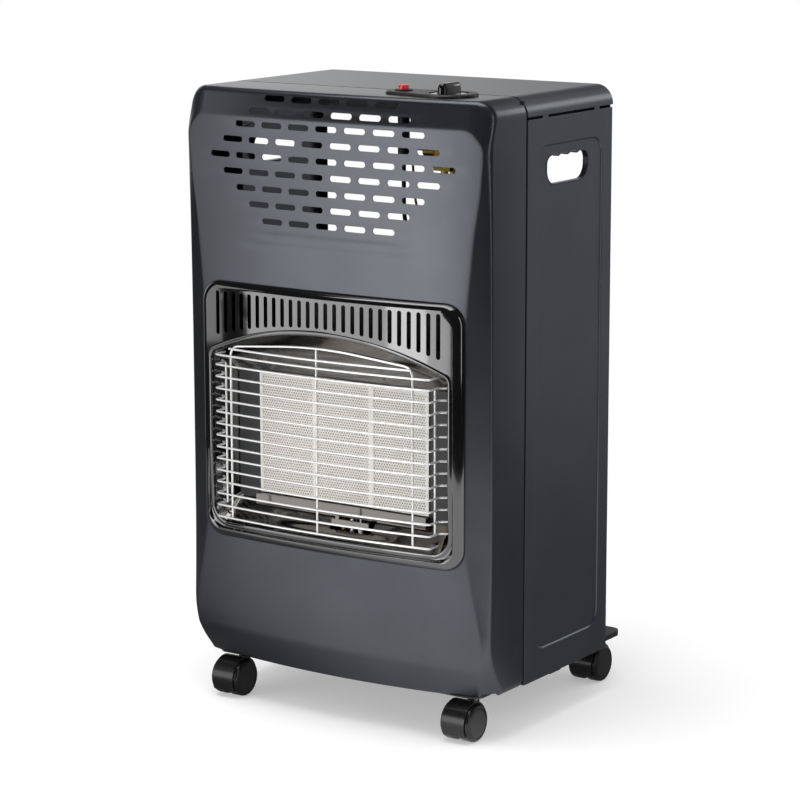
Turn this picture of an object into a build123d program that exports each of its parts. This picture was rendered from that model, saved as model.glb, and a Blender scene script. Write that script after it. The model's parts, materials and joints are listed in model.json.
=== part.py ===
"""Cabinet gas heater on four castors: a bowed steel front with a guarded ceramic burner.

Millimetres. +Z is up, +X is to the right seen from the front, and the front faces -Y.
The floor is z = 0, and the origin is under the middle of the whole heater.
"""

import os
from math import atan, cos, pi, sin, sqrt, tan

from build123d import *

os.makedirs("parts", exist_ok=True)

# Cabinet
body_width = 420
body_top = 738
body_bottom = 57
front_edge_y = -153
cover_depth = 73.5
panel_depth = 190
sheet = 1.2
flange = 13
face_gap = 0.05
fit_gap = 0.15
running_gap = 0.05
body_gap = 0.3

# Front cover: a bowed field between two hollowed flanks, drawn back at the top and bottom.
# A station is (height, flank width, drop of the side edge, drop of the field, drop of its ends),
# and its height counts up from the cover's foot or down from its top.
cover_bottom = 60
bow_radius = 1800
bow_rise = 17
crease_radius = 10
edge_radius = 3
top_corner = 22
bottom_corner = 20
low_stations = ((0, 20, 28, 8, 9), (15, 14, 17, 3.2, 4), (30, 10, 9, 0, 1), (48, 6.5, 2, 0, 0),
                (66, 7, 0, 0, 0), (92, 13, 0, 0, 0), (122, 19.5, 0, 0, 0), (162, 26.5, 0, 0, 0),
                (230, 29.5, 0, 0, 0))
high_stations = ((276, 28.8, 0, 0, 0), (219, 24, 0, 0, 0), (147, 16.5, 0, 0, 0), (105, 9.5, 0, 0, 0),
                 (64, 5.5, 0, 0, 0), (46, 6.5, 3, 0, 0), (31, 10, 11, 0, 1.5), (20, 14, 19.5, 3, 5),
                 (0, 22, 38, 9, 14))
middle_station = (30, 0, 0, 0)

# Slots in the front cover
slot_counts = (5, 6, 7, 8, 9, 8, 7, 6, 5)
slot_row_drops = (9.2, 24, 39.8, 58.1, 76.6, 95.1, 113.6, 132.1, 150.6)
slot_pitch = 38.6
slot_length = 29
slot_height = 7
slot_corner = 2

# Bezel round the burner opening
bezel_width = 364
bezel_bottom = 205.5
bezel_top = 513
bezel_corner = 26
bezel_lap = 9
bezel_proud = 11.5
bezel_radius = 1400
bezel_sheet = 1.5
bezel_edge = 2.5
rim_depth = 14
opening_width = 330
opening_bottom = 225
opening_shoulder = 428
opening_top = 462.5
opening_corner = 22
shoulder_corner = 8
vent_count = 26
vent_pitch = 12.3
vent_width = 5.6
vent_top_margin = 11
vent_middle_height = 31
vent_end_height = 52

# Burner
plaque_count = 3
plaque_width = 72
plaque_height = 138
plaque_thickness = 12
plaque_border = 4
plaque_divider = 7
plaque_lap = 3
burner_bottom = 259
burner_front_y = -139
burner_depth = 33
burner_wall = 1
surround_width = 304
surround_rise = 7
surround_drop = 15
surround_back = 1.7
surround_sheet = 1
surround_feet = 10
reflector_sheet = 0.8
reflector_edge_y = -168
reflector_throat_y = -148
reflector_rear_width = 300
reflector_rear_bottom = 250.5
reflector_rear_shoulder = 406
reflector_rear_top = 407.5
reflector_rear_corner = 5
reflector_throat_shoulder = 419
reflector_throat_top = 440
reflector_lap = 0.3
arch_folds = 12
corner_folds = 3
shield_width = 280
shield_bottom = 230
shield_top = 440
shield_depth = 15.5
rail_width = 240
rail_height = 13
rail_front_y = -147
rail_sheet = 1
tube_bore = 16
tube_wall = 1
tube_sides = 12
tube_length = 41
bell_diameter = 26
bell_height = 8
tube_y = -116
bar_width = 208
bar_drop = 51
bar_size = 8
injector_diameter = 7
injector_height = 8

# Pilot
pilot_x = 21
pilot_width = 52
pilot_y = -151.5
pilot_front_y = -156
pilot_floor = 236
pilot_lip = 8
pilot_tab = 14
pilot_sheet = 1
pilot_window_margin = 3
pilot_window_depth = 16
pilot_spacing = 12
stem_below = 11
stem_sides = 8
pilot_stem = 6
pilot_rise = 4
probe_stem = 4
probe_rise = 10
electrode_stem = 5
electrode_rise = 4
electrode_tip = 1.6
electrode_tip_rise = 7

# Guard
wire = 3
guard_width = 299
guard_radius = 1150
guard_clear = 11.5
guard_bottom = 234.3
guard_pitch = 14
guard_top_step = 11.9
guard_rows = 15
guard_return = 19
guard_foot_depth = 6
wire_end_gap = 0.4
short_wire_rise = 9
hoop_width = 254
hoop_corner = 12
hoop_shoulder = 439.5
hoop_apex = 452
weld_gap = 0.03
centre_rod_top = 449
side_rod_bottom = 248
side_rod_top = 416
side_rod_setback = 16.5

# Controls
plate_thickness = 3.5
plate_edge = 1.2
control_y = -111
knob_inset = 82
knob_pad_radius = 33
button_spacing = 61
button_pad_radius = 20.5
cup_diameter = 49
cup_bore = 45.5
cup_depth = 10.5
cup_floor = 2
knob_skirt = 43
knob_skirt_height = 3.5
knob_sink = 0.5
knob_height = 15.5
knob_grip_width = 12
knob_grip_length = 38
knob_travel = 4
knob_edge = 1.5
button_diameter = 12
button_height = 27
button_proud = 6.5
button_travel = 5
button_edge = 1.5
button_floor_gap = 1
igniter_diameter = 16
igniter_flange = 20
igniter_flange_height = 1.5
igniter_barrel = 14
igniter_barrel_length = 55
igniter_overlap = 2
round_sides = 16
nut_flats = 22
nut_height = 3
spindle = 8
spindle_top_wall = 7
spindle_depth = 7
spindle_room = 2
gland_diameter = 20
gland_height = 12
tap_width = 26
tap_depth = 30
tap_height = 42
tap_top_drop = 41
tap_edge = 3
magnet_diameter = 16
magnet_length = 18
outlet_diameter = 10
outlet_length = 6
outlet_spacing = 12
inlet_diameter = 16
inlet_length = 8
nozzle_diameter = 9
nozzle_length = 34
nozzle_barbs = 2
nozzle_barb = 0.8
nozzle_collar = 12
nozzle_collar_length = 6
collar_diameter = 14
collar_height = 4
collar_travel_gap = 1.5
bracket_sheet = 1.5
bracket_half_span = 32
bracket_depth = 24
bracket_foot = 10

# Pipes and leads
supply_diameter = 6
pilot_pipe_diameter = 4
probe_lead_diameter = 3
ignition_lead_diameter = 5
bend_share = 0.45
lane_setback = 24.5
lane_inset = 18

# Castors
wheel_diameter = 45
wheel_width = 16.5
wheel_gap = 3.2
wheel_sides = 24
castor_inset = 22
castor_front_y = -115
castor_rear_y = 176
castor_trail = 20
hood_radius = 25
hood_width = 30
hood_cavity_gap = 0.8
hood_web = 5
hood_rear_level = 20.5
hood_front_level = 8
boss_diameter = 15
boss_top = 42.5
boss_height = 9
axle = 6
axle_length = 36
stem = 7
socket_diameter = 12
socket_bottom = 42.8
socket_room = 2

# Floor pan, panels, inner wall and rear cover
tray_top = 58
tray_rim = 6.5
tray_inset = 23
tray_corner = 14
tray_front_reach = 60.5
stand_rise = 1
stand_inset = 39
stand_front_gap = 8
stand_rear_gap = 24
ear_length = 24
ear_y = 7
ear_height = 5
ear_reach = 16.5
bulkhead_depth = 3.7
bulkhead_inset = 4
window_bottom = 565
window_top = 715
window_side = 25
panel_top = 712
cap_bottom = 715
cap_overhang = 1.6
emboss_margin = 22
emboss_bottom = 35
emboss_top = 31
emboss_depth = 1.5
emboss_corner = 22
tab_width = 12
tab_front = 38
tab_rear = 36
handle_width = 92
handle_y = 14
handle_bottom = 635
handle_corner = 17
handle_top_corner = 10
handle_height = 36
handle_scallops = 4
handle_scallop_pitch = 21
handle_scallop_radius = 24
handle_scallop_z = 644
handle_lip = 6
rear_cover_top = 470
rear_cover_inset = 2
rear_cover_flange = 16
rear_cover_slant = 42
rear_cover_back_y = 188
louvre_width = 60
louvre_height = 6
louvre_pitch = 16
louvre_rows = 5
louvre_columns = 3
louvre_column_pitch = 80
louvre_drop = 60

# Worked-out places
half_width = body_width / 2
bow_front_y = front_edge_y - bow_rise
seam_y = front_edge_y + cover_depth
panel_front_y = seam_y + bulkhead_depth
panel_rear_y = panel_front_y + panel_depth
bezel_front_y = bow_front_y - bezel_proud
guard_front_y = bezel_front_y - guard_clear - wire
tray_rear_y = -guard_front_y
tray_front_y = seam_y - tray_front_reach
wheel_radius = wheel_diameter / 2
burner_width = plaque_count * plaque_width + (plaque_count - 1) * plaque_divider + 2 * plaque_border
burner_height = plaque_height + 2 * plaque_border
burner_top = burner_bottom + burner_height
burner_middle = burner_bottom + burner_height / 2
box_front_y = burner_front_y + burner_wall
box_back_y = box_front_y + burner_depth - burner_wall
plaque_step = plaque_width + plaque_divider
surround_front_y = burner_front_y + surround_back
surround_bottom = burner_bottom - surround_drop
surround_top = burner_top + surround_rise
plaque_x = [plaque_step * (index - (plaque_count - 1) / 2) for index in range(plaque_count)]
reflector_rear_y = surround_front_y - face_gap
rail_top = burner_bottom - burner_wall
bar_top = burner_bottom - bar_drop
knob_x = half_width - knob_inset
button_x = knob_x - button_spacing
plate_top = body_top + plate_thickness
strip_underside = body_top - sheet
tap_top = body_top - tap_top_drop
tap_bottom = tap_top - tap_height
gland_top = tap_top + gland_height
knob_bottom = plate_top - knob_skirt_height - knob_sink
knob_top = knob_bottom + knob_height
button_top = plate_top + button_proud
button_bottom = button_top - button_height
igniter_floor = button_bottom - button_travel - button_floor_gap
igniter_bottom = igniter_floor - igniter_barrel_length
spindle_top = knob_top - spindle_top_wall
spindle_bottom = tap_top - spindle_depth
collar_bottom = gland_top + collar_travel_gap + knob_travel
inlet_z = (tap_top + tap_bottom) / 2
inlet_y = control_y + tap_depth / 2 + inlet_length
tray_width = body_width - 2 * tray_inset
castor_spacing = tray_width - 2 * castor_inset
rear_cover_width = body_width - 2 * rear_cover_inset
rear_cover_waist = rear_cover_width - 2 * rear_cover_flange
rear_cover_back_width = rear_cover_waist - 2 * rear_cover_slant
castor_y = {"front": castor_front_y, "rear": castor_rear_y}
castor_x = {"left": -castor_spacing / 2, "right": castor_spacing / 2}


def bow_y(x, middle_y, radius):
    """Depth at x of a bow that stands foremost at middle_y."""
    return middle_y + radius - sqrt(radius**2 - x**2)


def front_at(y):
    """Plane that faces the front at depth y, with X to the right and Z up."""
    return Plane.XZ.offset(-y)


def bowed_block(outline, front_y, front_radius, rear_y, rear_radius):
    """Solid with this front view, whose front and rear faces are bows."""
    x = half_width
    with BuildPart() as block:
        extrude(outline, amount=-2 * guard_front_y)
        with BuildSketch() as plan:
            with BuildLine():
                front = ThreePointArc((-x, bow_y(x, front_y, front_radius)), (0, front_y),
                                      (x, bow_y(x, front_y, front_radius)))
                rear = ThreePointArc((-x, bow_y(x, rear_y, rear_radius)), (0, rear_y),
                                     (x, bow_y(x, rear_y, rear_radius)))
                Line(front @ 0, rear @ 0)
                Line(front @ 1, rear @ 1)
            make_face()
        extrude(amount=body_top, mode=Mode.INTERSECT)
    return block.part


# Front cover -----------------------------------------------------------------


def cover_section(z, station, inset):
    """Plan of the cover at one height, drawn in by inset."""
    flank, edge_drop, field_drop, end_drop = station
    x_field = half_width - flank
    x_side = half_width - inset
    middle_y = bow_front_y + field_drop + inset
    crease_y = bow_y(x_field, middle_y, bow_radius) + end_drop
    edge_y = front_edge_y + edge_drop + inset
    back_y = seam_y - inset
    with BuildSketch(Plane.XY.offset(z)) as section:
        with BuildLine():
            ThreePointArc((-x_field, crease_y), (0, middle_y), (x_field, crease_y))
            Polyline((x_field, crease_y), (x_side, edge_y), (x_side, back_y), (-x_side, back_y),
                     (-x_side, edge_y), (-x_field, crease_y))
        make_face()
        creases = section.vertices().filter_by(lambda v: abs(abs(v.X) - x_field) < 0.01)
        fillet(creases, crease_radius - inset)
        side_edges = section.vertices().filter_by(lambda v: abs(v.Y - edge_y) < 0.01)
        fillet(side_edges, edge_radius - inset)
    return section.sketch


def cover_shape(inset):
    """The cover's full shape, drawn in by inset on every side."""
    middle_z = (cover_bottom + low_stations[-1][0] + body_top - high_stations[0][0]) / 2
    low = [(cover_bottom + max(rise, inset), rest) for rise, *rest in low_stations]
    high = [(body_top - max(drop, inset), rest) for drop, *rest in high_stations]
    with BuildPart() as shape:
        stations = low + [(middle_z, middle_station)] + high
        loft([cover_section(z, station, inset) for z, station in stations], ruled=True)
        with BuildSketch(front_at(seam_y + 1)) as front_view:
            with Locations((0, (cover_bottom + body_top) / 2)):
                Rectangle(body_width - 2 * inset, body_top - cover_bottom - 2 * inset)
            fillet(front_view.vertices().group_by(Axis.Y)[-1], top_corner - inset)
            fillet(front_view.vertices().group_by(Axis.Y)[0], bottom_corner - inset)
        extrude(amount=2 * cover_depth, mode=Mode.INTERSECT)
    return shape.part


def pear(knob_radius, button_radius):
    """Plan of the control plate: a large round end and a small one, joined by tangents."""
    with BuildSketch(Plane.XY.offset(body_top)) as plan:
        with Locations((knob_x, control_y)):
            Circle(knob_radius)
        with Locations((button_x, control_y)):
            Circle(button_radius)
        make_hull()
    return plan.sketch


with BuildPart() as front_cover:
    add(cover_shape(0))
    add(cover_shape(sheet), mode=Mode.SUBTRACT)
    # Windows in the back and the bottom leave a turned-in flange
    with BuildSketch(front_at(seam_y + 1)):
        with Locations((0, (cover_bottom + body_top) / 2)):
            RectangleRounded(body_width - 2 * flange, body_top - cover_bottom - 2 * flange, bottom_corner)
    extrude(amount=sheet + 2, mode=Mode.SUBTRACT)
    with BuildSketch(Plane.XY.offset(cover_bottom - 1)):
        with Locations((0, seam_y - cover_depth / 2)):
            Rectangle(body_width - 4 * flange, cover_depth - 2 * flange)
    extrude(amount=sheet + 2, mode=Mode.SUBTRACT)
    # Opening behind the bezel
    with BuildSketch(front_at(seam_y)):
        with Locations((0, (bezel_bottom + bezel_top) / 2)):
            RectangleRounded(bezel_width - 2 * bezel_lap, bezel_top - bezel_bottom - 2 * bezel_lap,
                             bezel_corner - bezel_lap)
    extrude(amount=2 * cover_depth, mode=Mode.SUBTRACT)
    # Rows of slots
    with BuildSketch(front_at(seam_y - flange)) as slots:
        for count, drop in zip(slot_counts, slot_row_drops):
            with Locations((0, body_top - drop)):
                with GridLocations(slot_pitch, 1, count, 1):
                    Rectangle(slot_length, slot_height)
        chamfer(slots.vertices(), slot_corner)
    extrude(amount=2 * cover_depth, mode=Mode.SUBTRACT)
    # Holes for the tap cup and the igniter in the top strip
    with BuildSketch(Plane.XY.offset(body_top + 1)):
        with Locations((knob_x, control_y)):
            Circle(cup_diameter / 2 + 2 * fit_gap)
        with Locations((button_x, control_y)):
            Circle(igniter_diameter / 2 + fit_gap)
    extrude(amount=-sheet - 2, mode=Mode.SUBTRACT)
front_cover.part.label = "front_cover"
export_step(front_cover.part, "parts/front_cover.step")


# Bezel -----------------------------------------------------------------------


def bezel_outline(inset):
    """Front view of the bezel, drawn in by inset."""
    with BuildSketch(Plane.XZ) as outline:
        with Locations((0, (bezel_bottom + bezel_top) / 2)):
            RectangleRounded(bezel_width - 2 * inset, bezel_top - bezel_bottom - 2 * inset,
                             bezel_corner - inset)
    return outline.sketch


def opening_outline(grow):
    """Front view of the burner opening: straight sides under an arch."""
    x = opening_width / 2
    with BuildSketch(Plane.XZ) as outline:
        with BuildLine():
            ThreePointArc((-x, opening_shoulder), (0, opening_top), (x, opening_shoulder))
            Polyline((x, opening_shoulder), (x, opening_bottom), (-x, opening_bottom),
                     (-x, opening_shoulder))
        make_face()
        fillet(outline.vertices().group_by(Axis.Y)[-1], shoulder_corner)
        fillet(outline.vertices().group_by(Axis.Y)[0], opening_corner)
        if grow:
            offset(amount=grow)
    return outline.sketch


vent_x = [vent_pitch * (index - (vent_count - 1) / 2) for index in range(vent_count)]
with BuildPart() as bezel:
    add(bowed_block(bezel_outline(0), bezel_front_y, bezel_radius, bow_front_y - fit_gap, bow_radius))
    chamfer(bezel.faces().sort_by(Axis.Y)[0].edges(), bezel_edge)
    add(bowed_block(bezel_outline(bezel_sheet), bezel_front_y + bezel_sheet, bezel_radius,
                    bow_front_y + 1, bow_radius), mode=Mode.SUBTRACT)
    add(bowed_block(opening_outline(bezel_sheet), bezel_front_y, bezel_radius,
                    bezel_front_y + rim_depth, bezel_radius))
    extrude(opening_outline(0), amount=-2 * guard_front_y, mode=Mode.SUBTRACT)
    # Vents: upright slots whose feet follow the arch
    with BuildSketch(front_at(seam_y)):
        for x in vent_x:
            height = vent_middle_height + (vent_end_height - vent_middle_height) * (x / vent_x[0]) ** 2
            with Locations((x, bezel_top - vent_top_margin - height / 2)):
                Rectangle(vent_width, height)
    extrude(amount=2 * cover_depth, mode=Mode.SUBTRACT)
bezel.part.label = "bezel"
export_step(bezel.part, "parts/bezel.step")


# Burner ----------------------------------------------------------------------

plaque_places = [(x, burner_middle) for x in plaque_x]
plaque_back_y = box_front_y + plaque_thickness + face_gap

with BuildPart() as burner_box:
    with BuildSketch(front_at(box_front_y)):
        with Locations((0, burner_middle)):
            Rectangle(burner_width, burner_height)
    extrude(amount=box_front_y - box_back_y)
    # A seat for each plaque, and the mixing chamber behind it
    with BuildSketch(front_at(box_front_y)):
        with Locations(plaque_places):
            Rectangle(plaque_width + 2 * plaque_lap, plaque_height + 2 * plaque_lap)
    extrude(amount=box_front_y - plaque_back_y, mode=Mode.SUBTRACT)
    with BuildSketch(front_at(plaque_back_y)):
        with Locations(plaque_places):
            Rectangle(plaque_width, plaque_height)
    extrude(amount=plaque_back_y - box_back_y + burner_wall, mode=Mode.SUBTRACT)
    # Ports for the mixing tubes
    with BuildSketch(Plane.XY.offset(burner_bottom)):
        with Locations([(x, tube_y) for x in plaque_x]):
            RegularPolygon(tube_bore / 2, tube_sides)
    extrude(amount=2 * plaque_border, mode=Mode.SUBTRACT)
burner_box.part.label = "burner_box"
export_step(burner_box.part, "parts/burner_box.step")

for name, x in zip(("left", "middle", "right"), plaque_x):
    with BuildPart() as ceramic_plaque:
        with BuildSketch(front_at(box_front_y + plaque_thickness)):
            with Locations((x, burner_middle)):
                Rectangle(plaque_width + 2 * plaque_lap - 2 * face_gap,
                          plaque_height + 2 * plaque_lap - 2 * face_gap)
        extrude(amount=plaque_thickness)
    ceramic_plaque.part.label = f"ceramic_plaque_{name}"
    export_step(ceramic_plaque.part, f"parts/ceramic_plaque_{name}.step")

with BuildPart() as plaque_frame:
    with BuildSketch(front_at(box_front_y)):
        with Locations((0, burner_middle)):
            Rectangle(burner_width, burner_height)
        with Locations(plaque_places):
            Rectangle(plaque_width, plaque_height, mode=Mode.SUBTRACT)
    extrude(amount=burner_wall)
plaque_frame.part.label = "plaque_frame"
export_step(plaque_frame.part, "parts/plaque_frame.step")

with BuildPart() as burner_surround:
    # Channel across the cabinet whose cheeks reach back to the inner wall
    x_side = surround_width / 2
    feet_y = seam_y - surround_sheet
    with BuildSketch(Plane.XY.offset(surround_bottom)):
        with BuildLine():
            Polyline((-x_side - surround_feet, feet_y), (-x_side, feet_y), (-x_side, surround_front_y),
                     (x_side, surround_front_y), (x_side, feet_y), (x_side + surround_feet, feet_y))
            offset(amount=surround_sheet, side=Side.LEFT)
        make_face()
    extrude(amount=surround_top - surround_bottom)
    with BuildSketch(front_at(surround_front_y + 2 * surround_sheet)):
        with Locations((0, burner_middle)):
            Rectangle(burner_width + 2 * fit_gap, burner_height + 2 * fit_gap)
    extrude(amount=4 * surround_sheet, mode=Mode.SUBTRACT)
burner_surround.part.label = "burner_surround"
export_step(burner_surround.part, "parts/burner_surround.step")

with BuildPart() as heat_shield:
    with BuildSketch(front_at(seam_y)):
        with Locations((0, (shield_bottom + shield_top) / 2)):
            Rectangle(shield_width, shield_top - shield_bottom)
    extrude(amount=shield_depth)
    with BuildSketch(front_at(seam_y)):
        with Locations((0, (shield_bottom + shield_top) / 2)):
            Rectangle(shield_width - 2 * sheet, shield_top - shield_bottom - 2 * sheet)
    extrude(amount=shield_depth - sheet, mode=Mode.SUBTRACT)
heat_shield.part.label = "heat_shield"
export_step(heat_shield.part, "parts/heat_shield.step")

# Reflector -------------------------------------------------------------------


def arch_points(half, shoulder, top):
    """Points of an arch from its right shoulder over the top to its left shoulder."""
    rise = top - shoulder
    radius = (half**2 + rise**2) / (2 * rise)
    steps = [half * (1 - 2 * index / arch_folds) for index in range(arch_folds + 1)]
    return [(x, top - radius + sqrt(radius**2 - x**2)) for x in steps]


def corner_points(half, bottom, corner):
    """Points round the lower left corner of a reflector section, from its side to its floor."""
    turns = [pi / 2 * index / corner_folds for index in range(corner_folds + 1)]
    return [(corner - half - corner * cos(turn), bottom + corner - corner * sin(turn)) for turn in turns]


def reflector_section(y, half, bottom, shoulder, top, corner, inset):
    """Front view of the reflector's folded funnel at one depth, drawn in by inset."""
    left = corner_points(half - inset, bottom + inset, corner - inset)
    right = [(-x, z) for x, z in reversed(left)]
    with BuildSketch(front_at(y)) as section:
        Polygon(arch_points(half - inset, shoulder - inset, top - inset) + left + right, align=None)
    return section.sketch


def reflector_at(y, rear, edge):
    """Size at depth y that runs straight from its rear value to its value at the front edge."""
    return rear + (edge - rear) * (reflector_rear_y - y) / (reflector_rear_y - reflector_edge_y)


edge_half = opening_width / 2 - reflector_lap
edge_bottom = opening_bottom + reflector_lap
edge_shoulder = opening_shoulder - reflector_lap
edge_top = opening_top - reflector_lap
edge_corner = opening_corner - reflector_lap


def reflector_half(y):
    """Half the funnel's width at depth y."""
    return reflector_at(y, reflector_rear_width / 2, edge_half)


def reflector_bottom(y):
    """Height of the funnel's floor at depth y."""
    return reflector_at(y, reflector_rear_bottom, edge_bottom)


def reflector_corner(y):
    """Radius of the funnel's lower corners at depth y."""
    return reflector_at(y, reflector_rear_corner, edge_corner)


def reflector_shape(inset):
    """The funnel from the burner to the opening, drawn in by inset."""
    with BuildPart() as shape:
        loft([
            reflector_section(reflector_rear_y, reflector_rear_width / 2, reflector_rear_bottom,
                              reflector_rear_shoulder, reflector_rear_top, reflector_rear_corner, inset),
            reflector_section(reflector_throat_y, reflector_half(reflector_throat_y),
                              reflector_bottom(reflector_throat_y), reflector_throat_shoulder,
                              reflector_throat_top, reflector_corner(reflector_throat_y), inset),
            reflector_section(reflector_edge_y, edge_half, edge_bottom, edge_shoulder, edge_top,
                              edge_corner, inset),
        ], ruled=True)
    return shape.part


with BuildPart() as reflector:
    add(reflector_shape(0))
    add(reflector_shape(reflector_sheet), mode=Mode.SUBTRACT)

floor_seam = reflector_rear_bottom + reflector_sheet
hood_seam = reflector_rear_shoulder

with BuildPart() as reflector_hood:
    add(reflector.part)
    split(bisect_by=Plane.XY.offset(hood_seam + face_gap), keep=Keep.TOP)
reflector_hood.part.label = "reflector_hood"
export_step(reflector_hood.part, "parts/reflector_hood.step")

with BuildPart() as reflector_tray:
    add(reflector.part)
    split(bisect_by=Plane.XY.offset(floor_seam - face_gap), keep=Keep.BOTTOM)
    # Window for the pilot
    with BuildSketch(Plane.XY.offset(edge_bottom - 1)):
        with Locations((pilot_x, pilot_y + pilot_window_margin / 2)):
            RectangleRounded(pilot_width + 2 * pilot_window_margin, pilot_window_depth,
                             pilot_window_margin)
    extrude(amount=floor_seam - edge_bottom + 1, mode=Mode.SUBTRACT)
reflector_tray.part.label = "reflector_tray"
export_step(reflector_tray.part, "parts/reflector_tray.step")

for name, side in (("left", -1), ("right", 1)):
    with BuildPart() as reflector_side:
        add(reflector.part)
        split(bisect_by=Plane.XY.offset(floor_seam + face_gap), keep=Keep.TOP)
        split(bisect_by=Plane.XY.offset(hood_seam - face_gap), keep=Keep.BOTTOM)
        split(bisect_by=Plane.YZ, keep=Keep.TOP if side > 0 else Keep.BOTTOM)
    reflector_side.part.label = f"reflector_side_{name}"
    export_step(reflector_side.part, f"parts/reflector_side_{name}.step")

with BuildPart() as burner_rail:
    with BuildSketch(Plane.YZ.offset(-rail_width / 2)):
        with BuildLine():
            Polyline((rail_front_y, rail_top - rail_height), (rail_front_y, rail_top),
                     (reflector_rear_y, rail_top))
            offset(amount=rail_sheet, side=Side.RIGHT)
        make_face()
    extrude(amount=rail_width)
burner_rail.part.label = "burner_rail"
export_step(burner_rail.part, "parts/burner_rail.step")

# Mixing tubes and injectors --------------------------------------------------

tube_top = burner_bottom - face_gap
tube_foot = tube_top - tube_length
bell_slope = (bell_diameter / 2 - tube_bore / 2 - tube_wall) * cos(pi / tube_sides) / bell_height
bell_taper = atan(bell_slope) * 180 / pi

with BuildPart() as mixing_tubes:
    # Each tube ends in a bell mouth above its injector
    for x in plaque_x:
        with BuildSketch(Plane.XY.offset(tube_foot + bell_height)):
            with Locations((x, tube_y)):
                RegularPolygon(tube_bore / 2 + tube_wall, tube_sides)
        extrude(amount=tube_length - bell_height)
        with BuildSketch(Plane.XY.offset(tube_foot)):
            with Locations((x, tube_y)):
                RegularPolygon(bell_diameter / 2, tube_sides)
        extrude(amount=bell_height, taper=bell_taper)
        with BuildSketch(Plane.XY.offset(tube_foot)):
            with Locations((x, tube_y)):
                RegularPolygon(tube_bore / 2, tube_sides)
        extrude(amount=tube_length, mode=Mode.SUBTRACT)
mixing_tubes.part.label = "mixing_tubes"
export_step(mixing_tubes.part, "parts/mixing_tubes.step")

with BuildPart() as injector_bar:
    with BuildSketch(front_at(tube_y - bar_size / 2)):
        with Locations((0, bar_top - bar_size / 2)):
            Rectangle(bar_width, bar_size)
        for side in (-1, 1):
            with Locations((side * (bar_width - surround_sheet) / 2, (bar_top + tube_top) / 2)):
                Rectangle(surround_sheet, tube_top - bar_top)
    extrude(amount=-bar_size)
injector_bar.part.label = "injector_bar"
export_step(injector_bar.part, "parts/injector_bar.step")

with BuildPart() as injectors:
    with BuildSketch(Plane.XY.offset(bar_top + face_gap)):
        with Locations([(x, tube_y) for x in plaque_x]):
            RegularPolygon(injector_diameter / 2, 6)
    extrude(amount=injector_height)
injectors.part.label = "injectors"
export_step(injectors.part, "parts/injectors.step")

# Pilot -----------------------------------------------------------------------

pilot_places = [(pilot_x + step * pilot_spacing, pilot_y) for step in (-1, 0, 1)]
stem_foot = pilot_floor - stem_below

with BuildPart() as pilot_bracket:
    with BuildSketch(Plane.YZ.offset(pilot_x - pilot_width / 2)):
        with BuildLine():
            Polyline((rail_front_y - face_gap, pilot_floor + pilot_tab),
                     (rail_front_y - face_gap, pilot_floor), (pilot_front_y, pilot_floor),
                     (pilot_front_y, pilot_floor + pilot_lip))
            offset(amount=pilot_sheet, side=Side.RIGHT)
        make_face()
    extrude(amount=pilot_width)
    with BuildSketch(Plane.XY.offset(pilot_floor)):
        for place, stem_size in zip(pilot_places, (pilot_stem, probe_stem, electrode_stem)):
            with Locations(place):
                RegularPolygon(stem_size / 2 + running_gap, stem_sides)
    extrude(amount=pilot_sheet, mode=Mode.SUBTRACT)
pilot_bracket.part.label = "pilot_bracket"
export_step(pilot_bracket.part, "parts/pilot_bracket.step")

with BuildPart() as pilot_burner:
    with BuildSketch(Plane.XY.offset(stem_foot)):
        with Locations(pilot_places[0]):
            RegularPolygon(pilot_stem / 2, stem_sides)
    extrude(amount=stem_below + pilot_rise)
    with BuildSketch(Plane.XY.offset(stem_foot + stem_below + pilot_rise)):
        with Locations(pilot_places[0]):
            RegularPolygon(pilot_stem / 4, stem_sides)
    extrude(amount=-pilot_rise, mode=Mode.SUBTRACT)
pilot_burner.part.label = "pilot_burner"
export_step(pilot_burner.part, "parts/pilot_burner.step")

with BuildPart() as thermocouple:
    with BuildSketch(Plane.XY.offset(stem_foot)):
        with Locations(pilot_places[1]):
            RegularPolygon(probe_stem / 2, stem_sides)
    extrude(amount=stem_below + probe_rise)
    chamfer(thermocouple.faces().sort_by(Axis.Z)[-1].edges(), probe_stem / 4)
thermocouple.part.label = "thermocouple"
export_step(thermocouple.part, "parts/thermocouple.step")

with BuildPart() as spark_electrode:
    with BuildSketch(Plane.XY.offset(stem_foot)):
        with Locations(pilot_places[2]):
            RegularPolygon(electrode_stem / 2, stem_sides)
    extrude(amount=stem_below + electrode_rise)
    with BuildSketch(Plane.XY.offset(stem_foot)):
        with Locations(pilot_places[2]):
            RegularPolygon(electrode_tip / 2, stem_sides)
    extrude(amount=stem_below + electrode_rise + electrode_tip_rise)
spark_electrode.part.label = "spark_electrode"
export_step(spark_electrode.part, "parts/spark_electrode.step")

# Guard -----------------------------------------------------------------------


def wire_section(path):
    """Section of the guard wire at the start of a path."""
    with BuildSketch(Plane(origin=path @ 0, x_dir=(0, 0, 1), z_dir=path % 0)) as section:
        Rectangle(wire, wire)
    return section.sketch


guard_x = guard_width / 2
guard_end_y = bow_y(guard_x, guard_front_y + wire / 2, guard_radius)
return_y = guard_end_y + guard_return
foot_y = return_y + guard_foot_depth
top_wire_z = guard_bottom + (guard_rows - 2) * guard_pitch + guard_top_step
wire_heights = [guard_bottom + row * guard_pitch for row in range(guard_rows - 1)] + [top_wire_z]
weld_step = wire + weld_gap


def wire_foot_x(z):
    """Where a wire's turned-out end meets the reflector's side, less a small gap."""
    radius = reflector_corner(foot_y)
    below = max(0, reflector_bottom(foot_y) + radius - z + wire / 2)
    x_wall = reflector_half(foot_y) - radius + sqrt(radius**2 - below**2)
    fold_gap = radius * (1 - cos(pi / 4 / corner_folds)) if below else 0
    return x_wall - fold_gap - reflector_sheet - wire_end_gap


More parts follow.
